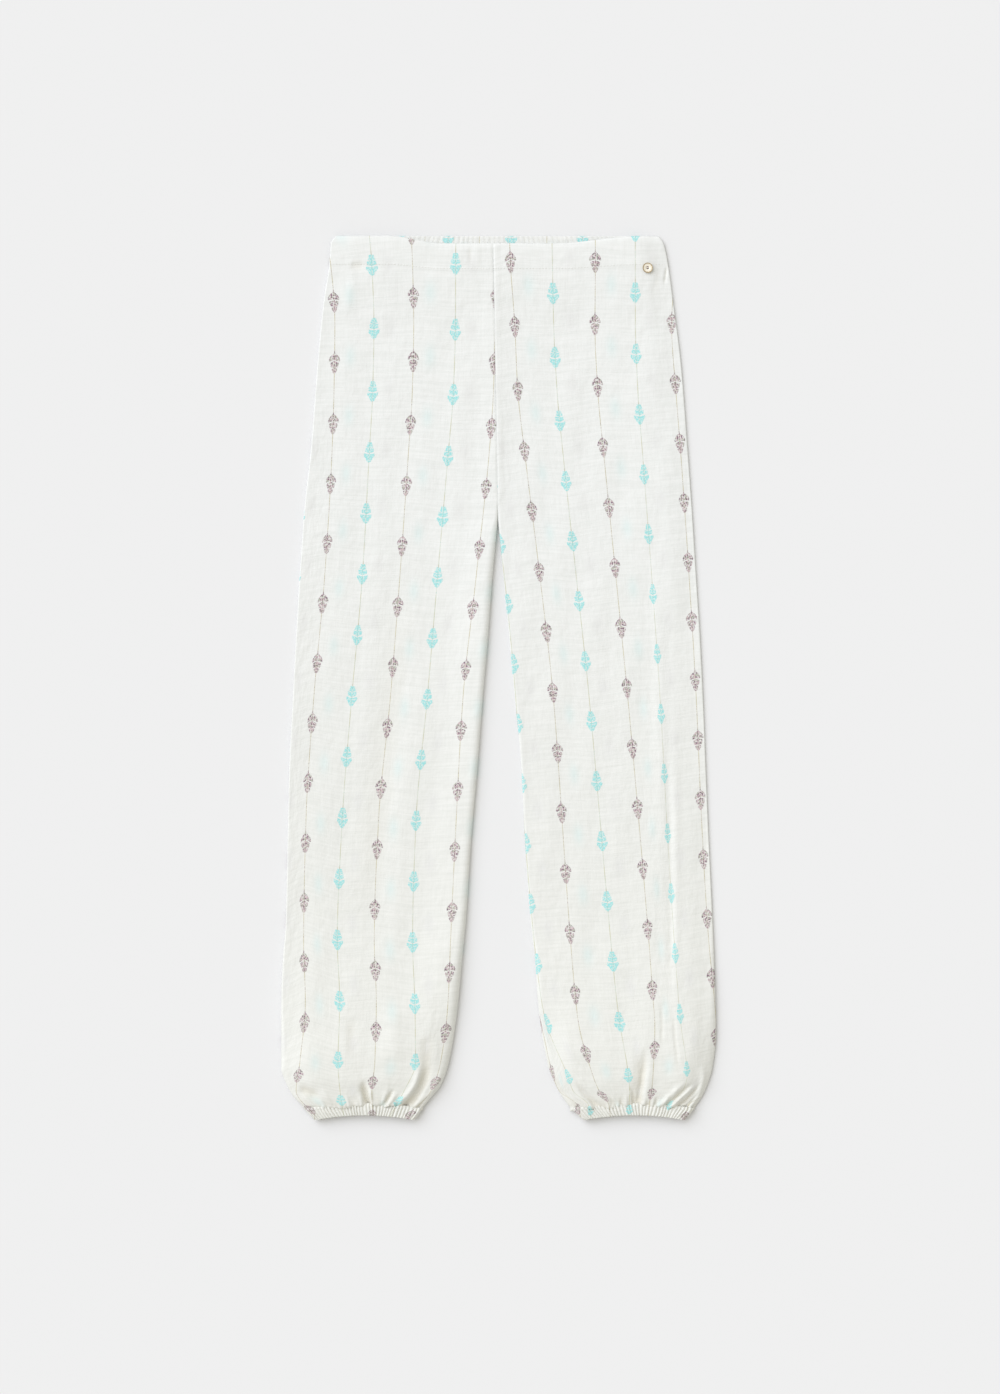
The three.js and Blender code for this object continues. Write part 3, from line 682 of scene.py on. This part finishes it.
leaf_print, given, made = new_group(
    "leaf print",
    [("Cloth", "Vector"), ("Ground", "Color")],
    [("Color", "Color"), ("Raised", "Float")],
)
tree = leaf_print
at = use_group(tree, print_places, Cloth=given["Cloth"])
threads = yarn_noise(tree, given["Cloth"], 700, 1500, 0.0)
ragged = reckon(tree, "MULTIPLY_ADD", threads, 1.3, -0.65)
away = reckon(tree, "ABSOLUTE", at["Across"])
own_width = spread(tree, at["Own"], 0, 1, 0.94, 1.06)
leaf_away = reckon(tree, "ADD", times(tree, away, own_width), ragged)
masks = []
for shape, slant in ((TURQUOISE_LEAF, TURQUOISE_SLANT), (MAUVE_LEAF, MAUVE_SLANT)):
    leaf_along = reckon(tree, "MULTIPLY_ADD", away, -slant, at["Below"])
    room = reckon(tree, "SUBTRACT", leaf_outline(tree, leaf_along, shape), leaf_away)
    masks.append(spread(tree, room, -0.3, 0.3))
leaf_rim = spread(tree, room, 0.2, 1.1, 0.3, 0)
turquoise = times(tree, masks[0], reckon(tree, "SUBTRACT", 1.0, at["Mauve"]))
mauve = times(tree, masks[1], at["Mauve"])
floats = reckon(tree, "SINE", times(tree, at["Below"], 2 * math.pi / FLOAT_PITCH))
floats = reckon(tree, "MULTIPLY_ADD", floats, 0.5, 0.5)
leaflets = reckon(tree, "COSINE", times(tree, away, 2 * math.pi / LEAFLET_PITCH))
speckle = yarn_noise(tree, given["Cloth"], 640, 520, 0.0)
veins = spread(tree, reckon(tree, "MULTIPLY_ADD", leaflets, -0.12, speckle), 0.3, 0.52)
gaps = spread(tree, yarn_noise(tree, given["Cloth"], 560, 430, 0.0), 0.54, 0.66, 0, 0.75)
moss = spread(tree, yarn_noise(tree, given["Cloth"], 420, 300, 0.0), 0.45, 0.6)
spike = spread(tree, reckon(tree, "ABSOLUTE", reckon(tree, "ADD", at["Below"], 12.5)), 5, 1.5)
stripe_here = spread(tree, yarn_noise(tree, given["Cloth"], 21.5, 60, 0.0), 0.36, 0.6, 0.4, 1)
stripe_here = reckon(tree, "MAXIMUM", stripe_here, spike)
stripe_room = reckon(tree, "SUBTRACT", STRIPE_HALF, reckon(tree, "MULTIPLY_ADD", ragged, 0.25, away))
stripe_mask = times(tree, spread(tree, stripe_room, -0.2, 0.2), stripe_here)
dark_spike = mix_colours(tree, at["Mauve"], STRIPE_DARK, PLUM)
stripe_colour = mix_colours(tree, times(tree, spike, 0.5), STRIPE_COLOUR, dark_spike)
turquoise_colour = mix_colours(tree, floats, TURQUOISE, TURQUOISE_DEEP)
midrib = spread(tree, away, 0.5, 0.2, 0, 0.45)
turquoise_colour = mix_colours(tree, midrib, turquoise_colour, MIDRIB)
pale_spots = spread(tree, speckle, 0.42, 0.66, 0, 0.6)
turquoise_colour = mix_colours(tree, pale_spots, turquoise_colour, given["Ground"])
mauve_colour = mix_colours(tree, moss, MAUVE, MOSS)
mauve_colour = mix_colours(tree, veins, PLUM, mauve_colour)
mauve_colour = mix_colours(tree, gaps, mauve_colour, given["Ground"])
mauve_colour = mix_colours(tree, leaf_rim, mauve_colour, PLUM)
paler = spread(tree, at["Below"], -2, 11, 0, 0.32)
mauve_colour = mix_colours(tree, paler, mauve_colour, MAUVE)
print_colour = mix_colours(tree, turquoise, given["Ground"], turquoise_colour)
print_colour = mix_colours(tree, mauve, print_colour, mauve_colour)
off_leaf = spread(tree, reckon(tree, "MAXIMUM", turquoise, mauve), 0, 1, 0.9, 0.15)
print_colour = mix_colours(tree, times(tree, stripe_mask, off_leaf), print_colour, stripe_colour)
feed(tree, made["Color"], print_colour)
feed(tree, made["Raised"], reckon(tree, "MAXIMUM", turquoise, mauve))

# Print behind: the leaves of the layer under this one, as soft shades through the thin cloth
print_behind, given, made = new_group(
    "print behind", [("Cloth", "Vector")], [("Turquoise", "Float"), ("Mauve", "Float")]
)
tree = print_behind
at = use_group(tree, print_places, Cloth=given["Cloth"])
wide = reckon(tree, "POWER", reckon(tree, "DIVIDE", at["Across"], 6.0), 2.0)
tall = reckon(tree, "POWER", reckon(tree, "DIVIDE", at["Below"], 11.0), 2.0)
blur = reckon(tree, "EXPONENT", times(tree, reckon(tree, "ADD", wide, tall), -1.0))
feed(tree, made["Mauve"], times(tree, blur, at["Mauve"]))
not_mauve = reckon(tree, "SUBTRACT", 1.0, at["Mauve"])
feed(tree, made["Turquoise"], times(tree, blur, not_mauve))

CLOTH_LIGHT = colour(234, 235, 232.5)
CLOTH_SHADE = colour(228, 229.5, 226.5)
# Painted shade: the cloth is painted darker and warmer down toward the hems, where the light falls off
DOWNWARD_PAINTED_SHADE = (0.965, 0.955, 0.92, 1)
BEHIND_TURQUOISE = colour(212, 230, 228)
BEHIND_MAUVE = colour(222, 222, 220)
# Painted shade for the valleys of folds, gathers, pleats and ribs
PAINTED_VALLEY_SHADE = (0.9, 0.86, 0.78, 1)


def slub_cotton(name, shows_behind, has_valley_shade):
    """The printed cotton. shows_behind is how much of the layer under it shows. The valleys of its folds and
    gathers take a warmer painted shade, and it is painted darker down toward the hem.
    """
    material, tree, shader = new_material(name)
    cloth = add_node(tree, "UVMap", uv_map="cloth").outputs[0]
    weave = use_group(tree, slub_weave, Cloth=cloth)
    ground = mix_colours(tree, weave["Tone"], CLOTH_SHADE, CLOTH_LIGHT)
    # Painted shade, darker and warmer from a quarter metre down the cloth to a metre
    down = split_vector(tree, cloth)[1]
    painted_shade = mix_colours(tree, spread(tree, down, 0.25, 1.0), (1, 1, 1, 1), DOWNWARD_PAINTED_SHADE)
    # Painted shade in the valleys, from the map each piece carries
    if has_valley_shade:
        tucks = add_node(tree, "UVMap", uv_map="tucks").outputs[0]
        painted_shade = mix_colours(tree, split_vector(tree, tucks)[0], painted_shade, PAINTED_VALLEY_SHADE)
    ground = mix_colours(tree, 1, ground, painted_shade, "MULTIPLY")
    if shows_behind:
        under = add_node(tree, "UVMap", uv_map="behind").outputs[0]
        behind = use_group(tree, print_behind, Cloth=under)
        for mask, shade in (("Turquoise", BEHIND_TURQUOISE), ("Mauve", BEHIND_MAUVE)):
            ground = mix_colours(tree, times(tree, behind[mask], shows_behind), ground, shade)
    printed = use_group(tree, leaf_print, Cloth=cloth, Ground=ground)
    feed(tree, shader.inputs["Base Color"], printed["Color"])
    feed(tree, shader.inputs["Roughness"], spread(tree, printed["Raised"], 0, 1, 0.92, 0.78))
    shader.inputs["Specular IOR Level"].default_value = 0.25
    shader.inputs["Sheen Weight"].default_value = 0.12
    shader.inputs["Sheen Roughness"].default_value = 0.5
    add_bump(tree, shader, reckon(tree, "MULTIPLY_ADD", printed["Raised"], 0.00008, weave["Height"]), 1)
    return material


# How the back's print lies under the front's: stripes to the side, and leaves to start and end with
BEHIND_STRIPES = 0.6
BEHIND_LEAVES = {-1: (-0.45, -0.17), 1: (0.11, 0.11)}
BEHIND_FROM, BEHIND_TO = 60.0, 600.0


def place_behind(leg, x, drop):
    """Place in the back panel's print of a point seen at x and drop."""
    stripe_count, leaf_count = print_place(leg, x, drop)
    start, end = BEHIND_LEAVES[leg["side"]]
    shift = start + (end - start) * smooth(BEHIND_FROM, BEHIND_TO, drop)
    return stripe_count + BEHIND_STRIPES, leaf_count + shift


front_cotton = slub_cotton("front slub cotton", 0.5, True)
FRONT_COLUMNS, FRONT_ROWS = 160, 280
for name, leg in (("left", left_leg), ("right", right_leg)):
    piece, s, level = add_grid(f"front_{name}_cloth", FRONT_COLUMNS, FRONT_ROWS)
    drop = np.interp(level, [0, 0.11, 0.6, 1], [0, 60, 855, CUFF_DROP - SEAM_GAP])
    points, tucks = lay_front(leg, drop, s)
    seen = WAIST_Y - points[:, 1]
    shape_cloth(
        piece, points, 0,
        cloth=cloth_map(*print_place(leg, points[:, 0], seen)),
        behind=cloth_map(*place_behind(leg, points[:, 0], seen)),
        tucks=np.stack([tucks, drop * MM], 1),
    )
    give_wall(piece, CLOTH_WALL)
    fit_piece(piece, "cloth", front_cotton, f"front_{name}_leg")


# Back legs
# The back panels are cut of the same cotton as the fronts and a little wider, and lie on the surface under
# them. Their own creases press flat there, and their hems gather up into the cuffs.

CASING_DEPTH = 34.0
BACK_CREASES = (
    (-150, 120, -160, 240, -172, 370, 9, 0.6), (-60, 380, -86, 560, -98, 760, 12, 0.5),
    (-190, 560, -196, 700, -196, 840, 8, 0.5), (-120, 900, -124, 940, -132, 985, 5, 1.6),
    (-200, 925, -190, 955, -178, 985, 4, 1.4), (-82, 930, -92, 958, -106, 985, 4, 1.6),
    (140, 130, 152, 250, 160, 360, 9, 0.6), (70, 380, 96, 560, 110, 760, 12, 0.5),
    (196, 540, 204, 700, 206, 850, 8, 0.5), (128, 905, 134, 945, 138, 985, 5, 1.6),
    (212, 930, 200, 958, 186, 985, 4, 1.4), (84, 930, 96, 958, 110, 985, 4, 1.6),
)
back_cotton = slub_cotton("back slub cotton", 0, False)
BACK_COLUMNS, BACK_ROWS = 84, 190


def lay_back(leg, drop, s):
    """The outside of a back leg, which rests on the surface."""
    side = leg["side"]
    parted = smooth(CROTCH_DROP, CROTCH_DROP + INSEAM_PART, drop)
    inner = leg["inner"](drop) + side * SEAM_GAP / 2 * (1 - parted)
    width = np.abs(leg["outer"](drop) - inner)
    edge = EDGE_ROUND * loft_height(drop)
    across, roll_in, roll_out = place_in_section(width, edge, edge, s)
    x = inner + side * across
    share = across / width
    seen = drop - CUFF_ARC * (1 - (2 * share - 1) ** 2) * smooth(HEM_ARC_START, CUFF_DROP, drop)
    roll = np.minimum(roll_in * smooth(CROTCH_DROP - CROTCH_ROLL, CROTCH_DROP, drop) + roll_out, 1)
    lifted = np.maximum(crease_heights(x, seen, BACK_CREASES), 0)
    lifted += 0.8 * hem_gathers(share, CUFF_DROP - drop, width, 5 + side)
    z = (1 - roll) * lifted + roll * (SEAM_HEIGHT - SEAM_FALL[side] * roll_out - SEAM_GAP / 2)
    return np.stack([x, WAIST_Y - seen, z], 1)


for name, leg in (("left", left_leg), ("right", right_leg)):
    piece, s, level = add_grid(f"back_{name}_cloth", BACK_COLUMNS, BACK_ROWS)
    drop = np.interp(level, [0, 0.6, 1], [CASING_DEPTH + SEAM_GAP, 870, CUFF_DROP - SEAM_GAP])
    points = lay_back(leg, drop, s)
    shape_cloth(
        piece, points, 50,
        cloth=cloth_map(*place_behind(leg, points[:, 0], WAIST_Y - points[:, 1])),
    )
    give_wall(piece, CLOTH_WALL)
    fit_piece(piece, "cloth", back_cotton, f"back_{name}_leg")


# Front waist facing
# A second layer of the same cotton turned in over the top edge of the fronts and left flat inside. Only its
# lower edge shows, as a soft line through the front.

FACING_SIDE = 10.0
FACING_BELOW = 1.35          # clear of the front, also where its creases press down
piece, s, level = add_grid("waist_facing_cloth", 120, 12)
drop = np.interp(level, [0, 1], [0.4, FACING_DEPTH - 2])
left_end = left_leg["outer"](drop) + FACING_SIDE
right_end = right_leg["outer"](drop) - FACING_SIDE
x = left_end + s * (right_end - left_end)
from_side = np.minimum(x - left_leg["outer"](drop), right_leg["outer"](drop) - x)
z = loft_height(drop) - CLOTH_WALL - FACING_BELOW - TOP_FALL * (1 - smooth(0, TOP_STRETCH, drop))
side_fall = np.where(x < 0, SIDE_FALL[-1], SIDE_FALL[1])
z = z - side_fall * (1 - smooth(0, FALL_WIDTH, from_side)) * smooth(0, 12, drop)
points = np.stack([x, WAIST_Y - drop - waist_dip(x, drop), z], 1)
stripe_count, leaf_count = print_place(right_leg, x, -drop)
shape_cloth(piece, points, 0, cloth=cloth_map(stripe_count, leaf_count))
give_wall(piece, CLOTH_WALL)
fit_piece(piece, "cloth", back_cotton, "front_waist_facing")

STITCH_ROW = 188.0           # length of a row
STITCH_PITCH = 3.2
STITCH_SHARE = 0.72          # of the pitch that a stitch shows, before its thread goes down again
STITCH_INSET = 1.6           # above the facing's lower edge
STITCH_LIFT = 0.1


def thread_finish(name, dark, light):
    """Twisted cotton thread, its plies lighter and darker by turns."""
    material, tree, shader = new_material(name)
    twist = yarn_noise(tree, add_node(tree, "TexCoord").outputs["Object"], 2600, 1400)
    feed(tree, shader.inputs["Base Color"], mix_colours(tree, spread(tree, twist, 0.4, 0.6), dark, light))
    shader.inputs["Roughness"].default_value = 0.8
    add_bump(tree, shader, twist, 0.00005)
    return material


def sew_row(name, points, material, slot, thick=0.24):
    """One rounded stitch from each point toward the next, joined as one mesh."""
    bpy.ops.mesh.primitive_uv_sphere_add(segments=8, ring_count=6, radius=1)
    piece = bpy.context.object
    piece.name = piece.data.name = name
    ball = np.array([vertex.co for vertex in piece.data.vertices])
    faces = [list(face.vertices) for face in piece.data.polygons]
    step = points[1:] - points[:-1]
    length = np.linalg.norm(step, axis=1, keepdims=True)
    along = step / length
    sideways = np.cross((0, 0, 1), along)
    up = np.cross(along, sideways)
    middle = (points[1:] + points[:-1]) / 2
    ends = [part[:, None] for part in (along * length * STITCH_SHARE / 2, sideways * thick, up * thick)]
    rows = middle[:, None] + sum(ball[None, :, k : k + 1] * ends[k] for k in range(3))
    joined = [[corner + k * len(ball) for corner in face] for k in range(len(middle)) for face in faces]
    piece.data.clear_geometry()
    piece.data.from_pydata((rows * MM).reshape(-1, 3).tolist(), [], joined)
    bpy.ops.object.shade_smooth()
    fit_piece(piece, slot, material)


white_thread = thread_finish("white thread", colour(229, 229, 224), colour(238, 238, 234))
for name, leg in (("left", left_leg), ("right", right_leg)):
    count = int(STITCH_ROW / STITCH_PITCH)
    level = np.full(count, FACING_DEPTH - STITCH_INSET)
    points = lay_front(leg, level, np.linspace(0.01, 0.93, count))[0]
    sew_row(f"waist_stitches_{name}", points + (0, 0, STITCH_LIFT), white_thread, "cloth")


# Back waist casing
# The top of the back is turned in over an elastic and stitched down, which gathers it into small upright
# pleats. It shows a little above the dipping edge of the front.

CASING_THICK = 1.9
CASING_GATHERS = 66
CASING_DEEP = 2.3
FOLD_START, FOLD_END = 0.3, 0.5    # shares of the cloth where the fold over the elastic starts and ends
# Where the gathered stripes cross the casing, each leaf at its full width
CASING_STRIPES = table(
    "x stripe",
    (-230, 0.4), (-117.5, 1.83), (-101.5, 2.17), (-65.3, 3.83), (-49.3, 4.17), (6, 5.83), (22, 6.17),
    (86.5, 7.83), (102.5, 8.17), (200, 9.7),
)
gathered_cotton = slub_cotton("gathered slub cotton", 0, True)


def gather_wave(share, count, phase):
    """Rounded pleats with sharp folds between them, uneven in width and height, from -1 to 1."""
    turn = 2 * math.pi * share
    drift = 0.5 * np.sin(3 * turn + phase) + 0.35 * np.sin(7 * turn + 2 * phase) + 0.3 * np.sin(17 * turn)
    size = 0.78 + 0.22 * np.cos(5 * turn + phase)
    return size * (2 * np.abs(np.cos((count * turn + drift) / 2)) - 1)


piece, share, level = add_grid("waist_casing_cloth", 528, 26)
under = np.minimum(level / FOLD_START, 1)
bend = np.clip((level - FOLD_START) / (FOLD_END - FOLD_START), 0, 1)
over = np.maximum((level - FOLD_END) / (1 - FOLD_END), 0)
edge = CASING_THICK / 2
drop = edge - edge * np.sin(bend * math.pi)
drop = np.where(level < FOLD_START, CASING_DEPTH - under * (CASING_DEPTH - edge), drop)
drop = np.where(level > FOLD_END, edge + over * (CASING_DEPTH - edge), drop)
rise = np.where(level < FOLD_START, 0, edge * (1 - np.cos(bend * math.pi)))
left_end, right_end = left_leg["outer"](drop), right_leg["outer"](drop)
x = left_end + share * (right_end - left_end)
wave = gather_wave(share + 0.0012 * np.sin(drop / 5 + share * 60), CASING_GATHERS, 0.9)
ends = smooth(0.93, 1, np.abs(2 * share - 1))
is_over = smooth(0, 1, bend)
pleat = (0.5 + 0.5 * wave) * (1 - 0.8 * ends)
quiet = 0.2 + 0.8 * smooth(0.28, 0.5, over)
z = rise * 0.7 + CASING_DEEP * pleat * quiet * is_over + 0.5 * CASING_DEEP * pleat * (1 - is_over)
z = z + ends * (SEAM_HEIGHT - CASING_THICK) * 0.5
y = WAIST_Y - drop - 0.1 * (1 - wave) * bend * (1 - over)
stripe_count = straight_line(CASING_STRIPES["x"], CASING_STRIPES["stripe"])(x)
leaf_count = (np.where(level < 0.4, -drop, drop) - 0.5) / LEAF_REPEAT
# The casing's map also carries painted shade in the valleys between its pleats
shape_cloth(
    piece, np.stack([x, y, z], 1), CASING_THICK / 2,
    cloth=cloth_map(stripe_count, leaf_count), tucks=np.stack([0.3 * (1 - pleat), level], 1),
)
give_wall(piece, CLOTH_WALL * 0.7)
fit_piece(piece, "cloth", gathered_cotton, "back_waist_casing")


# Ankle cuffs
# The end of each leg is turned up over an elastic and stitched round, which gathers it into a narrow ribbed
# tube. It lies flattened, its front bowed up a little in the middle.

CUFF = {"height": 14.0, "tall": 9.2, "round": 4.8, "gathers": 35, "deep": 1.0, "fold": 0.9}
CUFF_ENDS = {-1: (-207.5, -95.0), 1: (210.0, 95.5)}
CUFF_AROUND, CUFF_PROFILE = 440, 22
CUFF_FRONT = 0.68            # share of the tube's columns that lie over its front
TURN_END_SHARE, FOLD_END_SHARE = 0.2, 0.4    # where the turned-in end and the lower fold end, as shares
CUFF_STITCH_ROW, CUFF_STITCH_LEVEL, CUFF_STITCH_LIFT = 112.0, 0.86, 0.15


def lay_cuff(leg, around, level):
    """The outside of a cuff. around runs over the front from the inner end, then back under it."""
    side = leg["side"]
    turned_in = np.maximum(1 - level / TURN_END_SHARE, 0)
    bend = np.clip((level - TURN_END_SHARE) / (FOLD_END_SHARE - TURN_END_SHARE), 0, 1)
    up = np.maximum((level - FOLD_END_SHARE) / (1 - FOLD_END_SHARE), 0)
    rise = np.where(level < TURN_END_SHARE, 0.04 + 0.3 * turned_in, 0.05 * np.cos(bend * math.pi / 2) ** 2)
    rise = np.where(level > FOLD_END_SHARE, up, rise)
    wall = CUFF["fold"] * (1 + np.cos(bend * math.pi))
    wall = wall - 0.5 * np.sin(up * math.pi) + 1.3 * smooth(0.86, 1, up)
    bottom_outer, bottom_inner = CUFF_ENDS[side]
    top_outer, top_inner = leg["outer"](CUFF_DROP), leg["inner"](CUFF_DROP)
    inner = bottom_inner + rise * (top_inner - bottom_inner) + side * wall
    outer = bottom_outer + rise * (top_outer - bottom_outer) - side * wall
    width = np.abs(outer - inner)
    is_front = around < CUFF_FRONT
    s = np.where(is_front, around / CUFF_FRONT, (1 - around) / (1 - CUFF_FRONT))
    across, roll_in, roll_out = place_in_section(width, CUFF["round"] - wall, CUFF["round"] - wall, s)
    roll = np.minimum(roll_in + roll_out, 1)
    share = across / width
    lean = 0.004 * np.sin(rise * 3 + share * 21 + side)
    rib = CUFF["deep"] * gather_wave(share + lean, CUFF["gathers"], 1.1 + side) * (1 - 0.35 * roll)
    low, high = wall, CUFF["tall"] - wall
    middle = (low + high) / 2
    front_z = high + rib - roll * (high - middle)
    back_z = low + 0.85 * (rib + CUFF["deep"]) * (1 - roll) + roll * (middle - low)
    z = np.where(is_front, front_z, back_z)
    y = -WAIST_Y + rise * CUFF["height"] + CUFF_ARC * (1 - (2 * share - 1) ** 2) + 0.25 * rib * (1 - rise)
    x = inner + side * across + side * np.where(roll > 0.5, 0.3 * rib * roll, 0)
    # Painted shade in the valleys between the ribs
    tucks = 0.55 * np.clip(0.35 - rib / CUFF["deep"], 0, 1)
    return np.stack([x, y, np.maximum(z, 0.02)], 1), is_front, tucks


for name, leg in (("left", left_leg), ("right", right_leg)):
    piece, around, level = add_grid(f"{name}_cuff_cloth", CUFF_AROUND, CUFF_PROFILE)
    points, is_front, tucks = lay_cuff(leg, around, level)
    seen = WAIST_Y - points[:, 1]
    front_place = cloth_map(*print_place(leg, points[:, 0], seen))
    back_place = cloth_map(*place_behind(leg, points[:, 0], seen))
    shape_cloth(
        piece, points, CUFF["tall"] / 2,
        cloth=np.where(is_front[:, None], front_place, back_place), tucks=np.stack([tucks, level], 1),
    )
    bpy.ops.object.mode_set(mode="EDIT")
    bpy.ops.mesh.select_all(action="SELECT")
    bpy.ops.mesh.remove_doubles(threshold=0.00002)
    bpy.ops.object.mode_set(mode="OBJECT")
    give_wall(piece, CLOTH_WALL * 0.7)
    fit_piece(piece, "cloth", gathered_cotton, f"{name}_ankle_cuff")
    count = int(CUFF_STITCH_ROW / STITCH_PITCH)
    around = np.linspace(0.05, 0.95, count) * CUFF_FRONT
    points = lay_cuff(leg, around, np.full(count, CUFF_STITCH_LEVEL))[0]
    sew_row(f"{name}_cuff_stitches", points + (0, 0, CUFF_STITCH_LIFT), white_thread, "cloth")


# Badge
# A small pale gold disc with a raised rim, stamped from brass and left plain here. It is sewn through four
# holes, with two short bars of plum thread, to the front near the right side seam.

low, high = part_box("badge")
badge_x, badge_y = (low.x + high.x) / 2, (low.y + high.y) / 2
BADGE_RADIUS = (high.x - low.x) / 2
BADGE_RIM = 0.0011
BADGE_SUNK = 0.0003
BADGE_STEP = 0.0003          # width of the slope inside the rim
HOLE_RADIUS = 0.0005
HOLE_OFFSET = 0.0009


def gold_finish():
    """Pale gold, softly polished, a little lighter in patches, with a painted shade on its rim."""
    material, tree, shader = new_material("pale gold")
    shader.inputs["Metallic"].default_value = 1
    place = add_node(tree, "TexCoord").outputs["Object"]
    patches = add_node(tree, "TexNoise")
    patches.inputs["Scale"].default_value = 900
    feed(tree, patches.inputs["Vector"], place)
    share = spread(tree, patches.outputs["Fac"], 0.35, 0.65)
    out = add_node(tree, "VectorMath", operation="DISTANCE")
    feed(tree, out.inputs[0], place)
    feed(tree, out.inputs[1], (badge_x, badge_y, high.z))
    # Painted shade on the rim, a darker ring all round
    painted_rim_shade = spread(tree, out.outputs["Value"], BADGE_RADIUS - BADGE_RIM, BADGE_RADIUS - 0.8 * BADGE_RIM)
    face_gold = mix_colours(tree, share, colour(238, 229, 210), colour(248, 243, 230))
    feed(tree, shader.inputs["Base Color"], mix_colours(tree, painted_rim_shade, face_gold, colour(186, 166, 132)))
    feed(tree, shader.inputs["Roughness"], spread(tree, patches.outputs["Fac"], 0.3, 0.7, 0.4, 0.55))
    return material


pale_gold = gold_finish()
bpy.ops.mesh.primitive_cylinder_add(
    vertices=64, radius=BADGE_RADIUS, depth=high.z - low.z,
    location=(badge_x, badge_y, (low.z + high.z) / 2),
)
disc = bpy.context.object
disc.name = disc.data.name = "badge_disc"
bpy.ops.object.transform_apply(location=True, rotation=False, scale=False)
bpy.ops.object.mode_set(mode="EDIT")
bpy.ops.mesh.select_all(action="DESELECT")
bpy.ops.object.mode_set(mode="OBJECT")
for face in disc.data.polygons:
    face.select = face.normal.z > 0.9
bpy.ops.object.mode_set(mode="EDIT")
bpy.ops.mesh.select_mode(type="FACE")
bpy.ops.mesh.inset(thickness=BADGE_RIM)
bpy.ops.transform.translate(value=(0, 0, -BADGE_SUNK))
bpy.ops.mesh.inset(thickness=BADGE_STEP)
bpy.ops.object.mode_set(mode="OBJECT")
for sx, sy in ((-1, -1), (1, -1), (1, 1), (-1, 1)):
    bpy.ops.mesh.primitive_cylinder_add(
        vertices=20, radius=HOLE_RADIUS, depth=0.01,
        location=(badge_x + sx * HOLE_OFFSET, badge_y + sy * HOLE_OFFSET, high.z),
    )
    drill = bpy.context.object
    bpy.ops.object.select_all(action="DESELECT")
    disc.select_set(True)
    bpy.context.view_layer.objects.active = disc
    cut = disc.modifiers.new("hole", "BOOLEAN")
    cut.operation = "DIFFERENCE"
    cut.solver = "EXACT"
    cut.object = drill
    bpy.ops.object.modifier_apply(modifier="hole")
    bpy.data.objects.remove(drill)
soften = disc.modifiers.new("soft edges", "BEVEL")
soften.width = 0.00012
soften.segments = 2
soften.limit_method = "ANGLE"
bpy.ops.object.modifier_apply(modifier="soft edges")
bpy.ops.object.shade_smooth_by_angle(angle=math.radians(40))
fit_piece(disc, "badge_metal", pale_gold, "badge")

plum_thread = thread_finish("plum thread", colour(74, 50, 62), colour(98, 72, 82))
for sy, name in ((-1, "badge_thread_low"), (1, "badge_thread_high")):
    row = np.array([(badge_x - 2 * HOLE_OFFSET, badge_y + sy * HOLE_OFFSET, high.z - BADGE_SUNK)]) / MM
    row = np.concatenate([row, row + (4 * HOLE_OFFSET / MM, 0, 0)])
    sew_row(name, row, plum_thread, "badge_metal", 0.62)


# Floor, light and camera
# A plain pale surface under the garment, a soft sun from the top left with even light around it, and the
# camera straight above.

bpy.ops.mesh.primitive_plane_add(size=8, location=(0, 0, -0.0004))
floor = bpy.context.object
floor.name = "floor"
pale_floor, tree, floor_shader = new_material("pale floor")
floor_shader.inputs["Base Color"].default_value = (0.8, 0.8, 0.8, 1)
floor_shader.inputs["Roughness"].default_value = 1
floor_shader.inputs["Specular IOR Level"].default_value = 0
floor.data.materials.append(pale_floor)

world = bpy.data.worlds.new("even light")
world.use_nodes = True
background = world.node_tree.nodes["Background"]
background.inputs["Color"].default_value = (1.02, 1, 0.93, 1)
background.inputs["Strength"].default_value = 0.64
bpy.context.scene.world = world

SUN_DIRECTION = (0.66, -0.5, -0.78)
sun = bpy.data.lights.new("soft sun", "SUN")
sun.energy = 2.05
sun.color = (0.97, 1, 1.1)
sun.angle = math.radians(58)
sun_object = bpy.data.objects.new("soft sun", sun)
bpy.context.scene.collection.objects.link(sun_object)
sun_object.rotation_euler = Vector(SUN_DIRECTION).to_track_quat("-Z", "Y").to_euler()

camera = bpy.data.cameras.new("camera")
camera.lens = 85
camera.sensor_width = 36
camera_object = bpy.data.objects.new("camera", camera)
camera_object.location = (0.0014, -0.0217, 3.72)
bpy.context.scene.collection.objects.link(camera_object)
bpy.context.scene.camera = camera_object
bpy.context.scene.view_settings.view_transform = "Standard"
